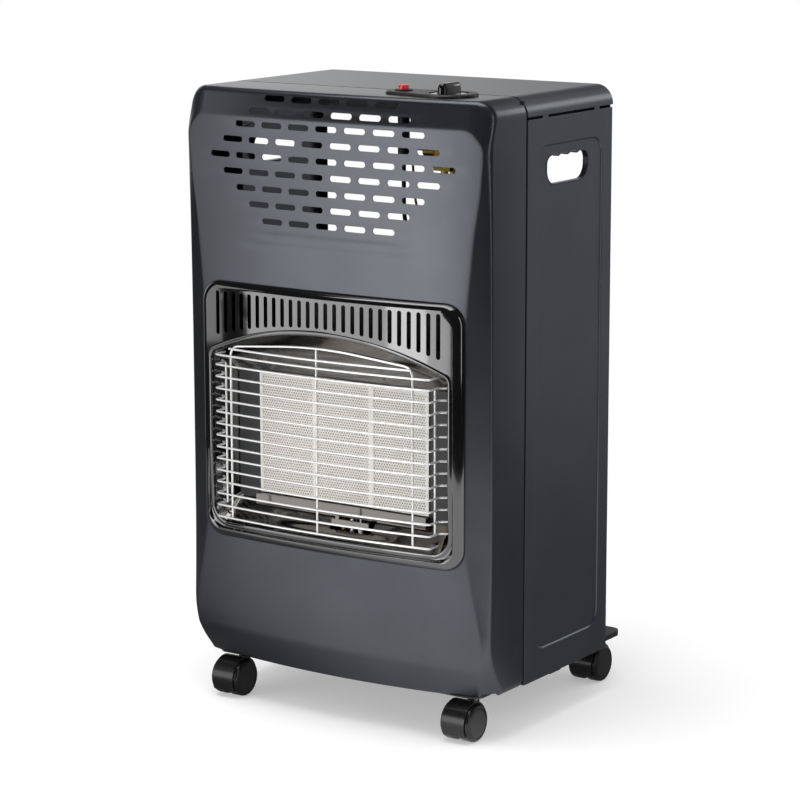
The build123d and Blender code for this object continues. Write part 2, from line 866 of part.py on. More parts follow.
with BuildPart() as guard_wires:
    for z in wire_heights:
        with BuildLine(Plane.XY.offset(z)) as wire_path:
            ThreePointArc((-guard_x, guard_end_y), (0, guard_front_y + wire / 2), (guard_x, guard_end_y))
            for side in (-1, 1):
                Line((side * guard_x, guard_end_y), (side * guard_x, return_y))
                if z < top_wire_z and wire_foot_x(z) > guard_x:
                    Line((side * guard_x, return_y), (side * wire_foot_x(z), foot_y))
        path = wire_path.wires()[0]
        sweep(wire_section(path), path=path, transition=Transition.RIGHT)
    with BuildLine(Plane.XY.offset(top_wire_z + short_wire_rise)) as short_path:
        hoop_x = hoop_width / 2
        hoop_front_y = bow_y(hoop_x, guard_front_y + wire / 2, guard_radius)
        ThreePointArc((-hoop_x, hoop_front_y), (0, guard_front_y + wire / 2), (hoop_x, hoop_front_y))
    path = short_path.wires()[0]
    sweep(wire_section(path), path=path)
guard_wires.part.label = "guard_wires"
export_step(guard_wires.part, "parts/guard_wires.step")

with BuildPart() as guard_hoop:
    hoop_y = bow_y(hoop_x + wire / 2, guard_front_y + wire / 2, guard_radius) + weld_step + weld_gap
    hoop_top_y = guard_front_y + wire / 2 + 2 * weld_step
    hoop_foot = guard_bottom - wire / 2
    rise_angle = (hoop_apex - hoop_shoulder) / hoop_x
    with BuildLine() as hoop_path:
        FilletPolyline((-hoop_x, hoop_y, hoop_foot), (-hoop_x, hoop_y, hoop_shoulder),
                       (0, hoop_top_y, hoop_apex), (hoop_x, hoop_y, hoop_shoulder),
                       (hoop_x, hoop_y, hoop_foot),
                       radius=[hoop_corner, bend_share * hoop_x / rise_angle, hoop_corner])
    path = hoop_path.wires()[0]
    with BuildSketch(Plane(origin=path @ 0, x_dir=(1, 0, 0), z_dir=path % 0)):
        Rectangle(wire, wire)
    sweep(path=path, transition=Transition.RIGHT)
guard_hoop.part.label = "guard_hoop"
export_step(guard_hoop.part, "parts/guard_hoop.step")

with BuildPart() as guard_rods:
    side_x = guard_x - weld_step
    side_y = guard_end_y + side_rod_setback
    with BuildSketch(Plane.XY.offset(hoop_foot)):
        with Locations((0, guard_front_y + wire / 2 + weld_step)):
            Rectangle(wire, wire)
    extrude(amount=centre_rod_top - hoop_foot)
    with BuildSketch(Plane.XY.offset(side_rod_bottom)):
        with Locations((-side_x, side_y), (side_x, side_y)):
            Rectangle(wire, wire)
    extrude(amount=side_rod_top - side_rod_bottom)
guard_rods.part.label = "guard_rods"
export_step(guard_rods.part, "parts/guard_rods.step")

# Inner wall, panels, cap and floor -------------------------------------------

bulkhead_bottom = cover_bottom + bulkhead_inset
bulkhead_top = body_top - bulkhead_inset
bulkhead_middle = (bulkhead_bottom + bulkhead_top) / 2
bulkhead_front_y = seam_y + face_gap

with BuildPart() as bulkhead:
    with BuildSketch(front_at(bulkhead_front_y)):
        with Locations((0, bulkhead_middle)):
            Rectangle(body_width - 2 * bulkhead_inset, bulkhead_top - bulkhead_bottom)
    extrude(amount=2 * face_gap - bulkhead_depth)
    with BuildSketch(front_at(bulkhead_front_y + sheet)):
        with Locations((0, bulkhead_middle)):
            Rectangle(body_width - 2 * bulkhead_inset - 2 * sheet,
                      bulkhead_top - bulkhead_bottom - 2 * sheet)
    extrude(amount=-bulkhead_depth, mode=Mode.SUBTRACT)
    with BuildSketch(front_at(seam_y)):
        with Locations((0, (window_bottom + window_top) / 2)):
            RectangleRounded(body_width - 2 * window_side, window_top - window_bottom, flange)
    extrude(amount=-bulkhead_depth, mode=Mode.SUBTRACT)
bulkhead.part.label = "bulkhead"
export_step(bulkhead.part, "parts/bulkhead.step")


def draw_handle():
    """Draws the hand hole in a side view: round corners below and finger scallops above."""
    with Locations((handle_y, handle_bottom)):
        Rectangle(handle_width, handle_scallop_z - handle_bottom, align=(Align.CENTER, Align.MIN))
    with Locations((handle_y, handle_scallop_z)):
        with GridLocations(handle_scallop_pitch, 1, handle_scallops, 1):
            Circle(handle_scallop_radius)
    with Locations((handle_y, handle_bottom)):
        Rectangle(handle_width, handle_height, align=(Align.CENTER, Align.MIN), mode=Mode.INTERSECT)


panel_middle = ((panel_front_y + panel_rear_y) / 2, (body_bottom + panel_top) / 2)
emboss_middle = (panel_middle[0], (body_bottom + emboss_bottom + panel_top - emboss_top) / 2)
emboss_size = (panel_depth - 2 * emboss_margin, panel_top - emboss_top - body_bottom - emboss_bottom)

with BuildPart() as side_panel_right:
    with BuildSketch(Plane.YZ.offset(half_width)):
        with Locations(panel_middle):
            Rectangle(panel_depth, panel_top - body_bottom)
    extrude(amount=-flange)
    with BuildSketch(Plane.YZ.offset(half_width - sheet)):
        with Locations(panel_middle):
            Rectangle(panel_depth - 2 * sheet, panel_top - body_bottom - 2 * sheet)
    extrude(amount=-flange, mode=Mode.SUBTRACT)
    # Pressed-in field
    with BuildSketch(Plane.YZ.offset(half_width - sheet)):
        with Locations(emboss_middle):
            RectangleRounded(emboss_size[0], emboss_size[1], emboss_corner)
    extrude(amount=-emboss_depth)
    with BuildSketch(Plane.YZ.offset(half_width)):
        with Locations(emboss_middle):
            RectangleRounded(emboss_size[0], emboss_size[1], emboss_corner)
    extrude(amount=-emboss_depth, taper=45, mode=Mode.SUBTRACT)
    # Hand hole with a turned-in lip
    for grow, depth, mode in ((sheet, emboss_depth + handle_lip, Mode.ADD), (0, 2 * flange, Mode.SUBTRACT)):
        with BuildSketch(Plane.YZ.offset(half_width - emboss_depth / 2)) as hole:
            draw_handle()
            ends = hole.vertices().filter_by(lambda v: abs(abs(v.X - handle_y) - handle_width / 2) < 0.1)
            fillet(ends.group_by(Axis.Y)[0], handle_corner)
            ends = hole.vertices().filter_by(lambda v: abs(abs(v.X - handle_y) - handle_width / 2) < 0.1)
            fillet(ends.group_by(Axis.Y)[-1], handle_top_corner)
            if grow:
                offset(amount=grow)
        extrude(amount=-depth, mode=mode)
    # Tabs that carry the cap
    with BuildSketch(Plane.YZ.offset(half_width)):
        for y in (panel_front_y + tab_front, panel_rear_y - tab_rear):
            with Locations((y, panel_top - sheet)):
                Rectangle(tab_width, cap_bottom - face_gap - panel_top + sheet,
                          align=(Align.CENTER, Align.MIN))
    extrude(amount=-sheet)
side_panel_right.part.label = "side_panel_right"
export_step(side_panel_right.part, "parts/side_panel_right.step")

with BuildPart() as side_panel_left:
    add(side_panel_right.part)
    mirror(about=Plane.YZ)
    split(bisect_by=Plane.YZ, keep=Keep.BOTTOM)
side_panel_left.part.label = "side_panel_left"
export_step(side_panel_left.part, "parts/side_panel_left.step")

cap_depth = panel_depth + cap_overhang
with BuildPart() as top_cover:
    for inset, mode in ((0, Mode.ADD), (sheet, Mode.SUBTRACT)):
        with BuildSketch(front_at(panel_front_y + inset)) as profile:
            with Locations((0, body_top - inset)):
                Rectangle(body_width - 2 * inset, body_top - cap_bottom, align=(Align.CENTER, Align.MAX))
            fillet(profile.vertices().group_by(Axis.Y)[-1], top_corner - inset)
        extrude(amount=2 * inset - cap_depth, mode=mode)
top_cover.part.label = "top_cover"
export_step(top_cover.part, "parts/top_cover.step")

with BuildPart() as base_tray:
    for inset, mode in ((0, Mode.ADD), (sheet, Mode.SUBTRACT)):
        with BuildSketch(Plane.XY.offset(tray_top - inset)):
            with Locations((0, (tray_front_y + tray_rear_y) / 2)):
                RectangleRounded(tray_width - 2 * inset, tray_rear_y - tray_front_y - 2 * inset,
                                 tray_corner - inset)
        extrude(amount=-tray_rim, mode=mode)
    # Raised field that the bottle stands on, pressed up from below
    stand_front_y = panel_front_y + stand_front_gap
    stand_depth = tray_rear_y - stand_rear_gap - stand_front_y
    for inset, mode in ((0, Mode.ADD), (sheet, Mode.SUBTRACT)):
        with BuildSketch(Plane.XY.offset(tray_top - inset)):
            with Locations((0, stand_front_y + stand_depth / 2)):
                RectangleRounded(tray_width - 2 * stand_inset - 2 * inset, stand_depth - 2 * inset,
                                 tray_corner - inset)
        extrude(amount=stand_rise, mode=mode)
    # Ears under the side panels
    with BuildSketch(Plane.XY.offset(body_bottom - face_gap)):
        for side in (-1, 1):
            with Locations((side * (tray_width - sheet) / 2, ear_y)):
                Rectangle(ear_reach, ear_length,
                          align=(Align.MIN if side > 0 else Align.MAX, Align.CENTER))
    extrude(amount=-ear_height)
base_tray.part.label = "base_tray"
export_step(base_tray.part, "parts/base_tray.step")

with BuildPart() as rear_cover:
    # Flanges behind the side panels, slanted sides and a flat back
    flange_y = panel_rear_y + cap_overhang + body_gap
    with BuildSketch(Plane.XY.offset(tray_top + body_gap)):
        with BuildLine():
            Polyline((-rear_cover_width / 2, flange_y), (-rear_cover_waist / 2, flange_y),
                     (-rear_cover_back_width / 2, rear_cover_back_y),
                     (rear_cover_back_width / 2, rear_cover_back_y),
                     (rear_cover_waist / 2, flange_y), (rear_cover_width / 2, flange_y))
            offset(amount=sheet, side=Side.LEFT)
        make_face()
    extrude(amount=rear_cover_top - tray_top - body_gap)
    with BuildSketch(front_at(rear_cover_back_y + 2 * sheet)):
        with Locations((0, rear_cover_top - louvre_drop)):
            with GridLocations(louvre_column_pitch, louvre_pitch, louvre_columns, louvre_rows):
                Rectangle(louvre_width, louvre_height)
    extrude(amount=4 * sheet, mode=Mode.SUBTRACT)
rear_cover.part.label = "rear_cover"
export_step(rear_cover.part, "parts/rear_cover.step")

# Controls --------------------------------------------------------------------

with BuildPart() as control_plate:
    add(pear(knob_pad_radius, button_pad_radius))
    extrude(amount=plate_thickness)
    chamfer(control_plate.faces().sort_by(Axis.Z)[-1].edges(), plate_edge)
    with BuildSketch(Plane.XY.offset(plate_top)):
        with Locations((knob_x, control_y)):
            Circle(cup_diameter / 2)
    extrude(amount=-cup_depth)
    with BuildSketch(Plane.XY.offset(plate_top)):
        with Locations((knob_x, control_y)):
            Circle(cup_bore / 2)
    extrude(amount=cup_floor - cup_depth, mode=Mode.SUBTRACT)
    with BuildSketch(Plane.XY.offset(plate_top)):
        with Locations((knob_x, control_y)):
            Circle(spindle / 2 + body_gap)
        with Locations((button_x, control_y)):
            Circle(igniter_diameter / 2 + fit_gap)
    extrude(amount=-cup_depth, mode=Mode.SUBTRACT)
control_plate.part.label = "control_plate"
export_step(control_plate.part, "parts/control_plate.step")

with BuildPart() as control_knob:
    with BuildSketch(Plane.XY.offset(knob_bottom)):
        with Locations((knob_x, control_y)):
            Circle(knob_skirt / 2)
    extrude(amount=knob_skirt_height)
    with BuildSketch(Plane.XY.offset(knob_bottom)):
        with Locations((knob_x, control_y)):
            SlotOverall(knob_grip_length, knob_grip_width, rotation=90)
    extrude(amount=knob_height)
    chamfer(control_knob.faces().sort_by(Axis.Z)[-1].edges(), knob_edge)
    with BuildSketch(Plane.XY.offset(knob_bottom)):
        with Locations((knob_x, control_y)):
            Circle(spindle / 2 + running_gap)
    extrude(amount=spindle_top + face_gap - knob_bottom, mode=Mode.SUBTRACT)
control_knob.part.label = "control_knob"
export_step(control_knob.part, "parts/control_knob.step")

with BuildPart() as tap_spindle:
    with BuildSketch(Plane.XY.offset(spindle_bottom)):
        with Locations((knob_x, control_y)):
            Circle(spindle / 2)
    extrude(amount=spindle_top - spindle_bottom)
tap_spindle.part.label = "tap_spindle"
export_step(tap_spindle.part, "parts/tap_spindle.step")

with BuildPart() as tap_collar:
    with BuildSketch(Plane.XY.offset(collar_bottom)):
        with Locations((knob_x, control_y)):
            Circle(collar_diameter / 2)
            Circle(spindle / 2 + running_gap, mode=Mode.SUBTRACT)
    extrude(amount=collar_height)
tap_collar.part.label = "tap_collar"
export_step(tap_collar.part, "parts/tap_collar.step")

with BuildPart() as gas_tap:
    with BuildSketch(Plane.XY.offset(tap_bottom)):
        with Locations((knob_x, control_y)):
            Rectangle(tap_width, tap_depth)
    extrude(amount=tap_height)
    fillet(gas_tap.edges().filter_by(Axis.Z), tap_edge)
    with BuildSketch(Plane.XY.offset(tap_top)):
        with Locations((knob_x, control_y)):
            RegularPolygon(gland_diameter / 2, round_sides)
    extrude(amount=gland_height)
    with BuildSketch(Plane.XY.offset(gland_top)):
        with Locations((knob_x, control_y)):
            Circle(spindle / 2 + running_gap)
    extrude(amount=-gland_height - spindle_depth - knob_travel - spindle_room, mode=Mode.SUBTRACT)
    # Outlets below, inlet behind and the flame-failure magnet at the left
    with BuildSketch(Plane.XY.offset(tap_bottom)):
        with Locations((knob_x - outlet_spacing / 2, control_y), (knob_x + outlet_spacing / 2, control_y)):
            RegularPolygon(outlet_diameter / 2, 6)
    extrude(amount=-outlet_length)
    with BuildSketch(front_at(inlet_y)):
        with Locations((knob_x, inlet_z)):
            RegularPolygon(inlet_diameter / 2, 6)
    extrude(amount=inlet_length)
    with BuildSketch(Plane.YZ.offset(knob_x - tap_width / 2)):
        with Locations((control_y, inlet_z)):
            RegularPolygon(magnet_diameter / 2, round_sides)
    extrude(amount=-magnet_length)
gas_tap.part.label = "gas_tap"
export_step(gas_tap.part, "parts/gas_tap.step")

with BuildPart() as tap_bracket:
    x_leg = bracket_half_span
    shelf_z = tap_top + face_gap + bracket_sheet
    with BuildSketch(front_at(control_y + bracket_depth / 2)):
        with BuildLine():
            Polyline((knob_x - x_leg - bracket_foot, strip_underside - face_gap),
                     (knob_x - x_leg, strip_underside - face_gap), (knob_x - x_leg, shelf_z),
                     (knob_x + x_leg, shelf_z), (knob_x + x_leg, strip_underside - face_gap),
                     (knob_x + x_leg + bracket_foot, strip_underside - face_gap))
            offset(amount=bracket_sheet, side=Side.RIGHT)
        make_face()
    extrude(amount=bracket_depth)
    with BuildSketch(Plane.XY.offset(tap_top)):
        with Locations((knob_x, control_y)):
            RegularPolygon(gland_diameter / 2 + fit_gap, round_sides)
    extrude(amount=2 * bracket_sheet, mode=Mode.SUBTRACT)
tap_bracket.part.label = "tap_bracket"
export_step(tap_bracket.part, "parts/tap_bracket.step")

with BuildPart() as hose_nozzle:
    # Six-sided collar, a stem, and barbs that taper towards the hose's end
    nozzle_place = (knob_x, inlet_z)
    barb_pitch = nozzle_length / (2 * nozzle_barbs)
    barb_start = inlet_y + nozzle_length - nozzle_barbs * barb_pitch
    with BuildSketch(front_at(inlet_y + face_gap)):
        with Locations(nozzle_place):
            RegularPolygon(nozzle_collar / 2, 6)
    extrude(amount=face_gap - nozzle_collar_length)
    with BuildSketch(front_at(inlet_y + nozzle_collar_length)):
        with Locations(nozzle_place):
            RegularPolygon(nozzle_diameter / 2 - nozzle_barb, round_sides)
    extrude(amount=barb_start - nozzle_barb - inlet_y - nozzle_collar_length, dir=(0, 1, 0))
    for index in range(nozzle_barbs):
        barb_y = barb_start + index * barb_pitch
        with BuildSketch(front_at(barb_y - nozzle_barb)):
            with Locations(nozzle_place):
                RegularPolygon(nozzle_diameter / 2, round_sides)
        with BuildSketch(front_at(barb_y + barb_pitch)):
            with Locations(nozzle_place):
                RegularPolygon(nozzle_diameter / 2 - nozzle_barb, round_sides)
        loft(ruled=True)
hose_nozzle.part.label = "hose_nozzle"
export_step(hose_nozzle.part, "parts/hose_nozzle.step")

with BuildPart() as piezo_igniter:
    with BuildSketch(Plane.XY.offset(plate_top + face_gap)):
        with Locations((button_x, control_y)):
            Circle(igniter_flange / 2)
    extrude(amount=igniter_flange_height)
    with BuildSketch(Plane.XY.offset(plate_top + face_gap)):
        with Locations((button_x, control_y)):
            RegularPolygon(igniter_diameter / 2, round_sides)
    extrude(amount=igniter_floor - plate_top - igniter_overlap)
    with BuildSketch(Plane.XY.offset(igniter_floor)):
        with Locations((button_x, control_y)):
            RegularPolygon(igniter_barrel / 2, round_sides)
    extrude(amount=-igniter_barrel_length)
    with BuildSketch(Plane.XY.offset(igniter_floor)):
        with Locations((button_x, control_y)):
            Circle(button_diameter / 2 + running_gap)
    extrude(amount=button_height + 2 * button_travel, mode=Mode.SUBTRACT)
piezo_igniter.part.label = "piezo_igniter"
export_step(piezo_igniter.part, "parts/piezo_igniter.step")

with BuildPart() as igniter_nut:
    with BuildSketch(Plane.XY.offset(strip_underside - face_gap)):
        with Locations((button_x, control_y)):
            RegularPolygon(nut_flats / 2, 6, major_radius=False)
            RegularPolygon(igniter_diameter / 2 + face_gap, round_sides, mode=Mode.SUBTRACT)
    extrude(amount=-nut_height)
igniter_nut.part.label = "igniter_nut"
export_step(igniter_nut.part, "parts/igniter_nut.step")

with BuildPart() as ignition_button:
    with BuildSketch(Plane.XY.offset(button_bottom)):
        with Locations((button_x, control_y)):
            Circle(button_diameter / 2)
    extrude(amount=button_height)
    chamfer(ignition_button.edges().sort_by(Axis.Z)[-1], button_edge)
ignition_button.part.label = "ignition_button"
export_step(ignition_button.part, "parts/ignition_button.step")

# Pipes and leads -------------------------------------------------------------


def bend_radii(points):
    """Bend radius at each inner point: as large as the shorter run beside it allows."""
    runs = [Vector(*end) - Vector(*start) for start, end in zip(points, points[1:])]
    radii = []
    for before, after in zip(runs, runs[1:]):
        half_turn = before.get_angle(after) * pi / 360
        radii.append(bend_share * min(before.length, after.length) / tan(half_turn))
    return radii


lane_y = seam_y - lane_setback
lane_x = half_width - lane_inset
probe_foot = stem_foot - face_gap
outlet_z = tap_bottom - outlet_length - face_gap
magnet_x = knob_x - tap_width / 2 - magnet_length - face_gap
bar_end_x = bar_width / 2 + face_gap
bar_middle_z = bar_top - bar_size / 2

pipe_routes = {
    "supply_pipe": (supply_diameter, [
        (knob_x + outlet_spacing / 2, control_y, outlet_z),
        (knob_x + outlet_spacing / 2, control_y, 610),
        (lane_x, lane_y, 560), (lane_x + 2, lane_y, 260), (lane_x - 22, tube_y, bar_middle_z),
        (bar_end_x, tube_y, bar_middle_z)]),
    "pilot_pipe": (pilot_pipe_diameter, [
        (knob_x - outlet_spacing / 2, control_y, outlet_z),
        (knob_x - outlet_spacing / 2, control_y, 600),
        (lane_x - 12, lane_y, 540), (lane_x - 10, lane_y, 270), (lane_x - 42, lane_y - 24, 196),
        (60, pilot_y + 4, 178), (pilot_places[0][0], pilot_y, 184),
        (pilot_places[0][0], pilot_y, probe_foot)]),
    "thermocouple_lead": (probe_lead_diameter, [
        (magnet_x, control_y, inlet_z), (button_x + 11, control_y, inlet_z),
        (button_x + 17, control_y, 590), (lane_x - 24, lane_y, 520), (lane_x - 21, lane_y, 280),
        (lane_x - 42, lane_y - 26, 206),
        (70, pilot_y + 4, 190), (pilot_places[1][0], pilot_y, 192),
        (pilot_places[1][0], pilot_y, probe_foot)]),
    "ignition_lead": (ignition_lead_diameter, [
        (button_x, control_y, igniter_bottom - face_gap), (button_x, control_y, 580),
        (lane_x - 82, lane_y - 2, 530), (lane_x - 33, lane_y, 480), (lane_x - 31, lane_y, 280),
        (lane_x - 42, lane_y - 30, 216),
        (80, pilot_y + 3, 200), (pilot_places[2][0], pilot_y, 198),
        (pilot_places[2][0], pilot_y, probe_foot)]),
}
for name, (diameter, points) in pipe_routes.items():
    with BuildPart() as pipe:
        with BuildLine() as route:
            FilletPolyline(*points, radius=bend_radii(points))
        path = route.wires()[0]
        with BuildSketch(Plane(origin=path @ 0, z_dir=path % 0)):
            RegularPolygon(diameter / 2, 4)
        sweep(path=path)
    print(name, "bend radii", [round(radius) for radius in bend_radii(points)])
    pipe.part.label = name
    export_step(pipe.part, f"parts/{name}.step")

# Castors ---------------------------------------------------------------------

with BuildPart() as castor_sockets:
    socket_places = [(x, y) for x in castor_x.values() for y in castor_y.values()]
    socket_top = tray_top - sheet - face_gap
    with BuildSketch(Plane.XY.offset(socket_bottom)):
        with Locations(socket_places):
            RegularPolygon(socket_diameter / 2, tube_sides)
            Circle(stem / 2 + running_gap, mode=Mode.SUBTRACT)
    extrude(amount=socket_top - socket_bottom)
castor_sockets.part.label = "castor_sockets"
export_step(castor_sockets.part, "parts/castor_sockets.step")


def draw_hood(axle_y):
    """Draws the castor hood in a side view: a round shell cut off along a slanted line."""
    with Locations((axle_y, wheel_radius)):
        RegularPolygon(hood_radius, wheel_sides)
    reach = 2 * hood_radius
    Polygon((axle_y - reach, -reach), (axle_y - reach, hood_front_level),
            (axle_y - hood_radius, hood_front_level), (axle_y + hood_radius, hood_rear_level),
            (axle_y + reach, hood_rear_level), (axle_y + reach, -reach),
            align=None, mode=Mode.SUBTRACT)


for x_name, x in castor_x.items():
    for y_name, y in castor_y.items():
        axle_y = y - castor_trail
        with BuildPart() as castor_hood:
            with BuildSketch(Plane.YZ.offset(x - hood_width / 2)):
                draw_hood(axle_y)
            extrude(amount=hood_width)
            with BuildSketch(Plane.XY.offset(boss_top)):
                with Locations((x, y)):
                    RegularPolygon(boss_diameter / 2, tube_sides)
            extrude(amount=-boss_height)
            # Wheel wells on both sides of the web
            for side in (-1, 1):
                with BuildSketch(Plane.YZ.offset(x + side * hood_web / 2)):
                    with Locations((axle_y, wheel_radius)):
                        RegularPolygon(wheel_radius + hood_cavity_gap, wheel_sides)
                extrude(amount=side * hood_width, mode=Mode.SUBTRACT)
            # Room for the socket above the boss
            with BuildSketch(Plane.XY.offset(boss_top)):
                with Locations((x, y)):
                    RegularPolygon(socket_diameter / 2 + socket_room, tube_sides)
            extrude(amount=hood_radius, mode=Mode.SUBTRACT)
            with BuildSketch(Plane.XY.offset(boss_top)):
                with Locations((x, y)):
                    Circle(stem / 2)
            extrude(amount=socket_top - boss_top - 2 * body_gap)
            with BuildSketch(Plane.YZ.offset(x - axle_length / 2)):
                with Locations((axle_y, wheel_radius)):
                    Circle(axle / 2)
            extrude(amount=axle_length)
        castor_hood.part.label = f"castor_hood_{y_name}_{x_name}"
        export_step(castor_hood.part, f"parts/castor_hood_{y_name}_{x_name}.step")

        for side, side_name in ((-1, "a"), (1, "b")):
            with BuildPart() as castor_wheel:
                with BuildSketch(Plane.YZ.offset(x + side * wheel_gap)):
                    with Locations((axle_y, wheel_radius)):
                        RegularPolygon(wheel_radius, wheel_sides)
                extrude(amount=side * wheel_width)
                with BuildSketch(Plane.YZ.offset(x)):
                    with Locations((axle_y, wheel_radius)):
                        Circle(axle / 2 + running_gap)
                extrude(amount=side * (axle_length / 2 + body_gap), mode=Mode.SUBTRACT)
            castor_wheel.part.label = f"castor_wheel_{y_name}_{x_name}_{side_name}"
            export_step(castor_wheel.part, f"parts/castor_wheel_{y_name}_{x_name}_{side_name}.step")
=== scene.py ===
import bpy
import json
from math import atan2, cos, pi, radians, sin, sqrt, tan
from mathutils import Matrix, Vector

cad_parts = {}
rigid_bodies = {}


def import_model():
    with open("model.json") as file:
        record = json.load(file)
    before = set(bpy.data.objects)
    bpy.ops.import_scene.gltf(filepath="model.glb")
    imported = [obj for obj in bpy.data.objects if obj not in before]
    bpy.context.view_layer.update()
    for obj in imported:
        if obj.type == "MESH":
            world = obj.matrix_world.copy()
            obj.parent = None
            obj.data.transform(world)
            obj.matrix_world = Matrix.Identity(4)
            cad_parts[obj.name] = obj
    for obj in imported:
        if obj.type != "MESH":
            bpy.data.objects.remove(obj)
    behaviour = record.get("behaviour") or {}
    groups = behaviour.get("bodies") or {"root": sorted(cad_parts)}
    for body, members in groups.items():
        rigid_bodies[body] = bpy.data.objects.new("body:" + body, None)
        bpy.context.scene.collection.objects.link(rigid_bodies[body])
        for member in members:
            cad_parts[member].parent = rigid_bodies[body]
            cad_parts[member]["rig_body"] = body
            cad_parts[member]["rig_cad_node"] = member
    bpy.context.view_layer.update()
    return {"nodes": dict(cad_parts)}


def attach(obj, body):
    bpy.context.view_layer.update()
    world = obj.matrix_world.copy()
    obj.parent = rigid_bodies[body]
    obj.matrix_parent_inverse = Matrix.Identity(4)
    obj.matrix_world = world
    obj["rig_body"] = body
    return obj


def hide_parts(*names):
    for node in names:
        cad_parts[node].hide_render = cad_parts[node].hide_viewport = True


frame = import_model()
bpy.ops.object.select_all(action="DESELECT")
print("frame loaded,", len(frame["nodes"]), "nodes")

mm = 0.001


def linear(hexColour):
    values = [int(hexColour[i:i + 2], 16) / 255 for i in (1, 3, 5)]
    return [v / 12.92 if v <= 0.04045 else ((v + 0.055) / 1.055) ** 2.4 for v in values] + [1.0]


def addNode(tree, kind, settings=None):
    # each key is a setting of the node, or a socket, which takes a value or a link from another socket
    node = tree.nodes.new(kind)
    for key, value in (settings or {}).items():
        if isinstance(key, str) and hasattr(node, key):
            setattr(node, key, value)
        elif isinstance(value, bpy.types.NodeSocket):
            tree.links.new(value, node.inputs[key])
        else:
            node.inputs[key].default_value = value
    return node


def addMath(tree, operation, *values):
    settings = {"operation": operation}
    settings.update(enumerate(values))
    return addNode(tree, "ShaderNodeMath", settings).outputs[0]


def addRange(tree, value, fromMin, fromMax, toMin=0.0, toMax=1.0, curve="LINEAR"):
    return addNode(tree, "ShaderNodeMapRange", {
        "interpolation_type": curve, "From Min": fromMin, "From Max": fromMax, "To Min": toMin, "To Max": toMax,
        "Value": value}).outputs["Result"]


def addTint(tree, factor, low, high, blend="MIX"):
    return addNode(tree, "ShaderNodeMix", {
        "data_type": "RGBA", "blend_type": blend, "Factor": factor, "A": low, "B": high}).outputs["Result"]


def newMaterial(name):
    material = bpy.data.materials.new(name)
    material.use_nodes = True
    tree = material.node_tree
    return material, tree, tree.nodes["Principled BSDF"]


# Finishes: each starts from what the real material is. Sizes are real millimetres.
# colours: darker and lighter patches; patch: their size; rough: lowest and highest roughness;
# grain: size of the surface texture; bump: its height; stretch: how far it is drawn out on X, Y, Z;
# flakes: size of the bright specks of metal in a paint
noiseSpan = (0.3, 0.7)  # nearly all of a noise texture's values lie between these
sparkle = {"reach": 0.35, "strength": 0.03}


def makeFinish(name, colours, patch, rough, grain, bump, metallic=0.0, coat=0.0, coatRough=0.1,
               stretch=(1, 1, 1), flakes=0.0):
    material, tree, shader = newMaterial(name)
    dark, light = linear(colours[0]), linear(colours[1])
    place = addNode(tree, "ShaderNodeTexCoord").outputs["Object"]
    drawn = addNode(tree, "ShaderNodeMapping", {
        "Scale": tuple(1 / s for s in stretch), "Vector": place}).outputs["Vector"]
    cloud = addNode(tree, "ShaderNodeTexNoise", {
        "Scale": 1000 / patch, "Detail": 4.0, "Roughness": 0.55, "Vector": drawn}).outputs["Fac"]
    colour = addTint(tree, addRange(tree, cloud, *noiseSpan), dark, light)
    texture = addNode(tree, "ShaderNodeTexNoise", {
        "Scale": 1000 / grain, "Detail": 3.0, "Vector": drawn}).outputs["Fac"]
    relief = addNode(tree, "ShaderNodeBump", {"Strength": 0.6, "Distance": bump * mm, "Height": texture})
    if flakes:
        specks = addNode(tree, "ShaderNodeTexVoronoi", {"Scale": 1000 / flakes, "Vector": place})
        glint = addRange(tree, specks.outputs["Distance"], 0.0, sparkle["reach"], sparkle["strength"], 0.0)
        colour = addTint(tree, glint, colour, light, "ADD")
    tree.links.new(colour, shader.inputs["Base Color"])
    tree.links.new(addRange(tree, texture, *noiseSpan, *rough), shader.inputs["Roughness"])
    tree.links.new(relief.outputs["Normal"], shader.inputs["Normal"])
    shader.inputs["Metallic"].default_value = metallic
    shader.inputs["Coat Weight"].default_value = coat
    shader.inputs["Coat Roughness"].default_value = coatRough
    return material


# Metallic polyester powder paint on steel sheet: aluminium flakes in a dark binder, satin, faint orange peel
frontPaint = makeFinish("metallicPowderPaint", ("#44464c", "#4a4c52"), 90, (0.28, 0.31), 2.2, 0.0015,
                        metallic=0.85, coat=0.2, coatRough=0.22, flakes=0.9)
# The same paint, sprayed flatter on the panels: more even and a little darker
panelPaint = makeFinish("satinPowderPaint", ("#3d4149", "#444850"), 120, (0.29, 0.33), 2.0, 0.002,
                        metallic=0.6, coat=0.2, coatRough=0.28, flakes=0.9)
# Vitreous enamel fired on pressed steel: black, wet-looking, with a very slow ripple
blackEnamel = makeFinish("vitreousEnamel", ("#0b0b0c", "#101011"), 60, (0.05, 0.08), 14, 0.012, coat=1.0,
                         coatRough=0.03)
blackEnamel.node_tree.nodes["Principled BSDF"].inputs["IOR"].default_value = 1.7
# Black powder paint on the pan and the rear cover: semi-matt with a fine texture. The bulkhead and burner surround
# get it too, as painted shade for how dark they lie behind the slots and beside the plaques
blackPaint = makeFinish("blackPowderPaint", ("#202124", "#292a2d"), 70, (0.42, 0.52), 1.2, 0.02)
# Polished stainless sheet: mirror with a faint rolling direction and slow waves from forming
mirrorSteel = makeFinish("polishedStainlessSteel", ("#6f6c68", "#87837e"), 45, (0.06, 0.13), 5, 0.012,
                         metallic=1.0, stretch=(6, 1, 1))
# Hot-dip galvanised sheet: dull zinc with large soft spangles
zincSheet = makeFinish("galvanisedSheet", ("#8d9093", "#a9acae"), 9, (0.38, 0.55), 3, 0.01, metallic=0.9)
# Aluminised sheet round the burner: grey and satin, darkened a little by heat
heatedSheet = makeFinish("aluminisedSheet", ("#77736d", "#938f89"), 30, (0.30, 0.45), 2, 0.01, metallic=0.9)
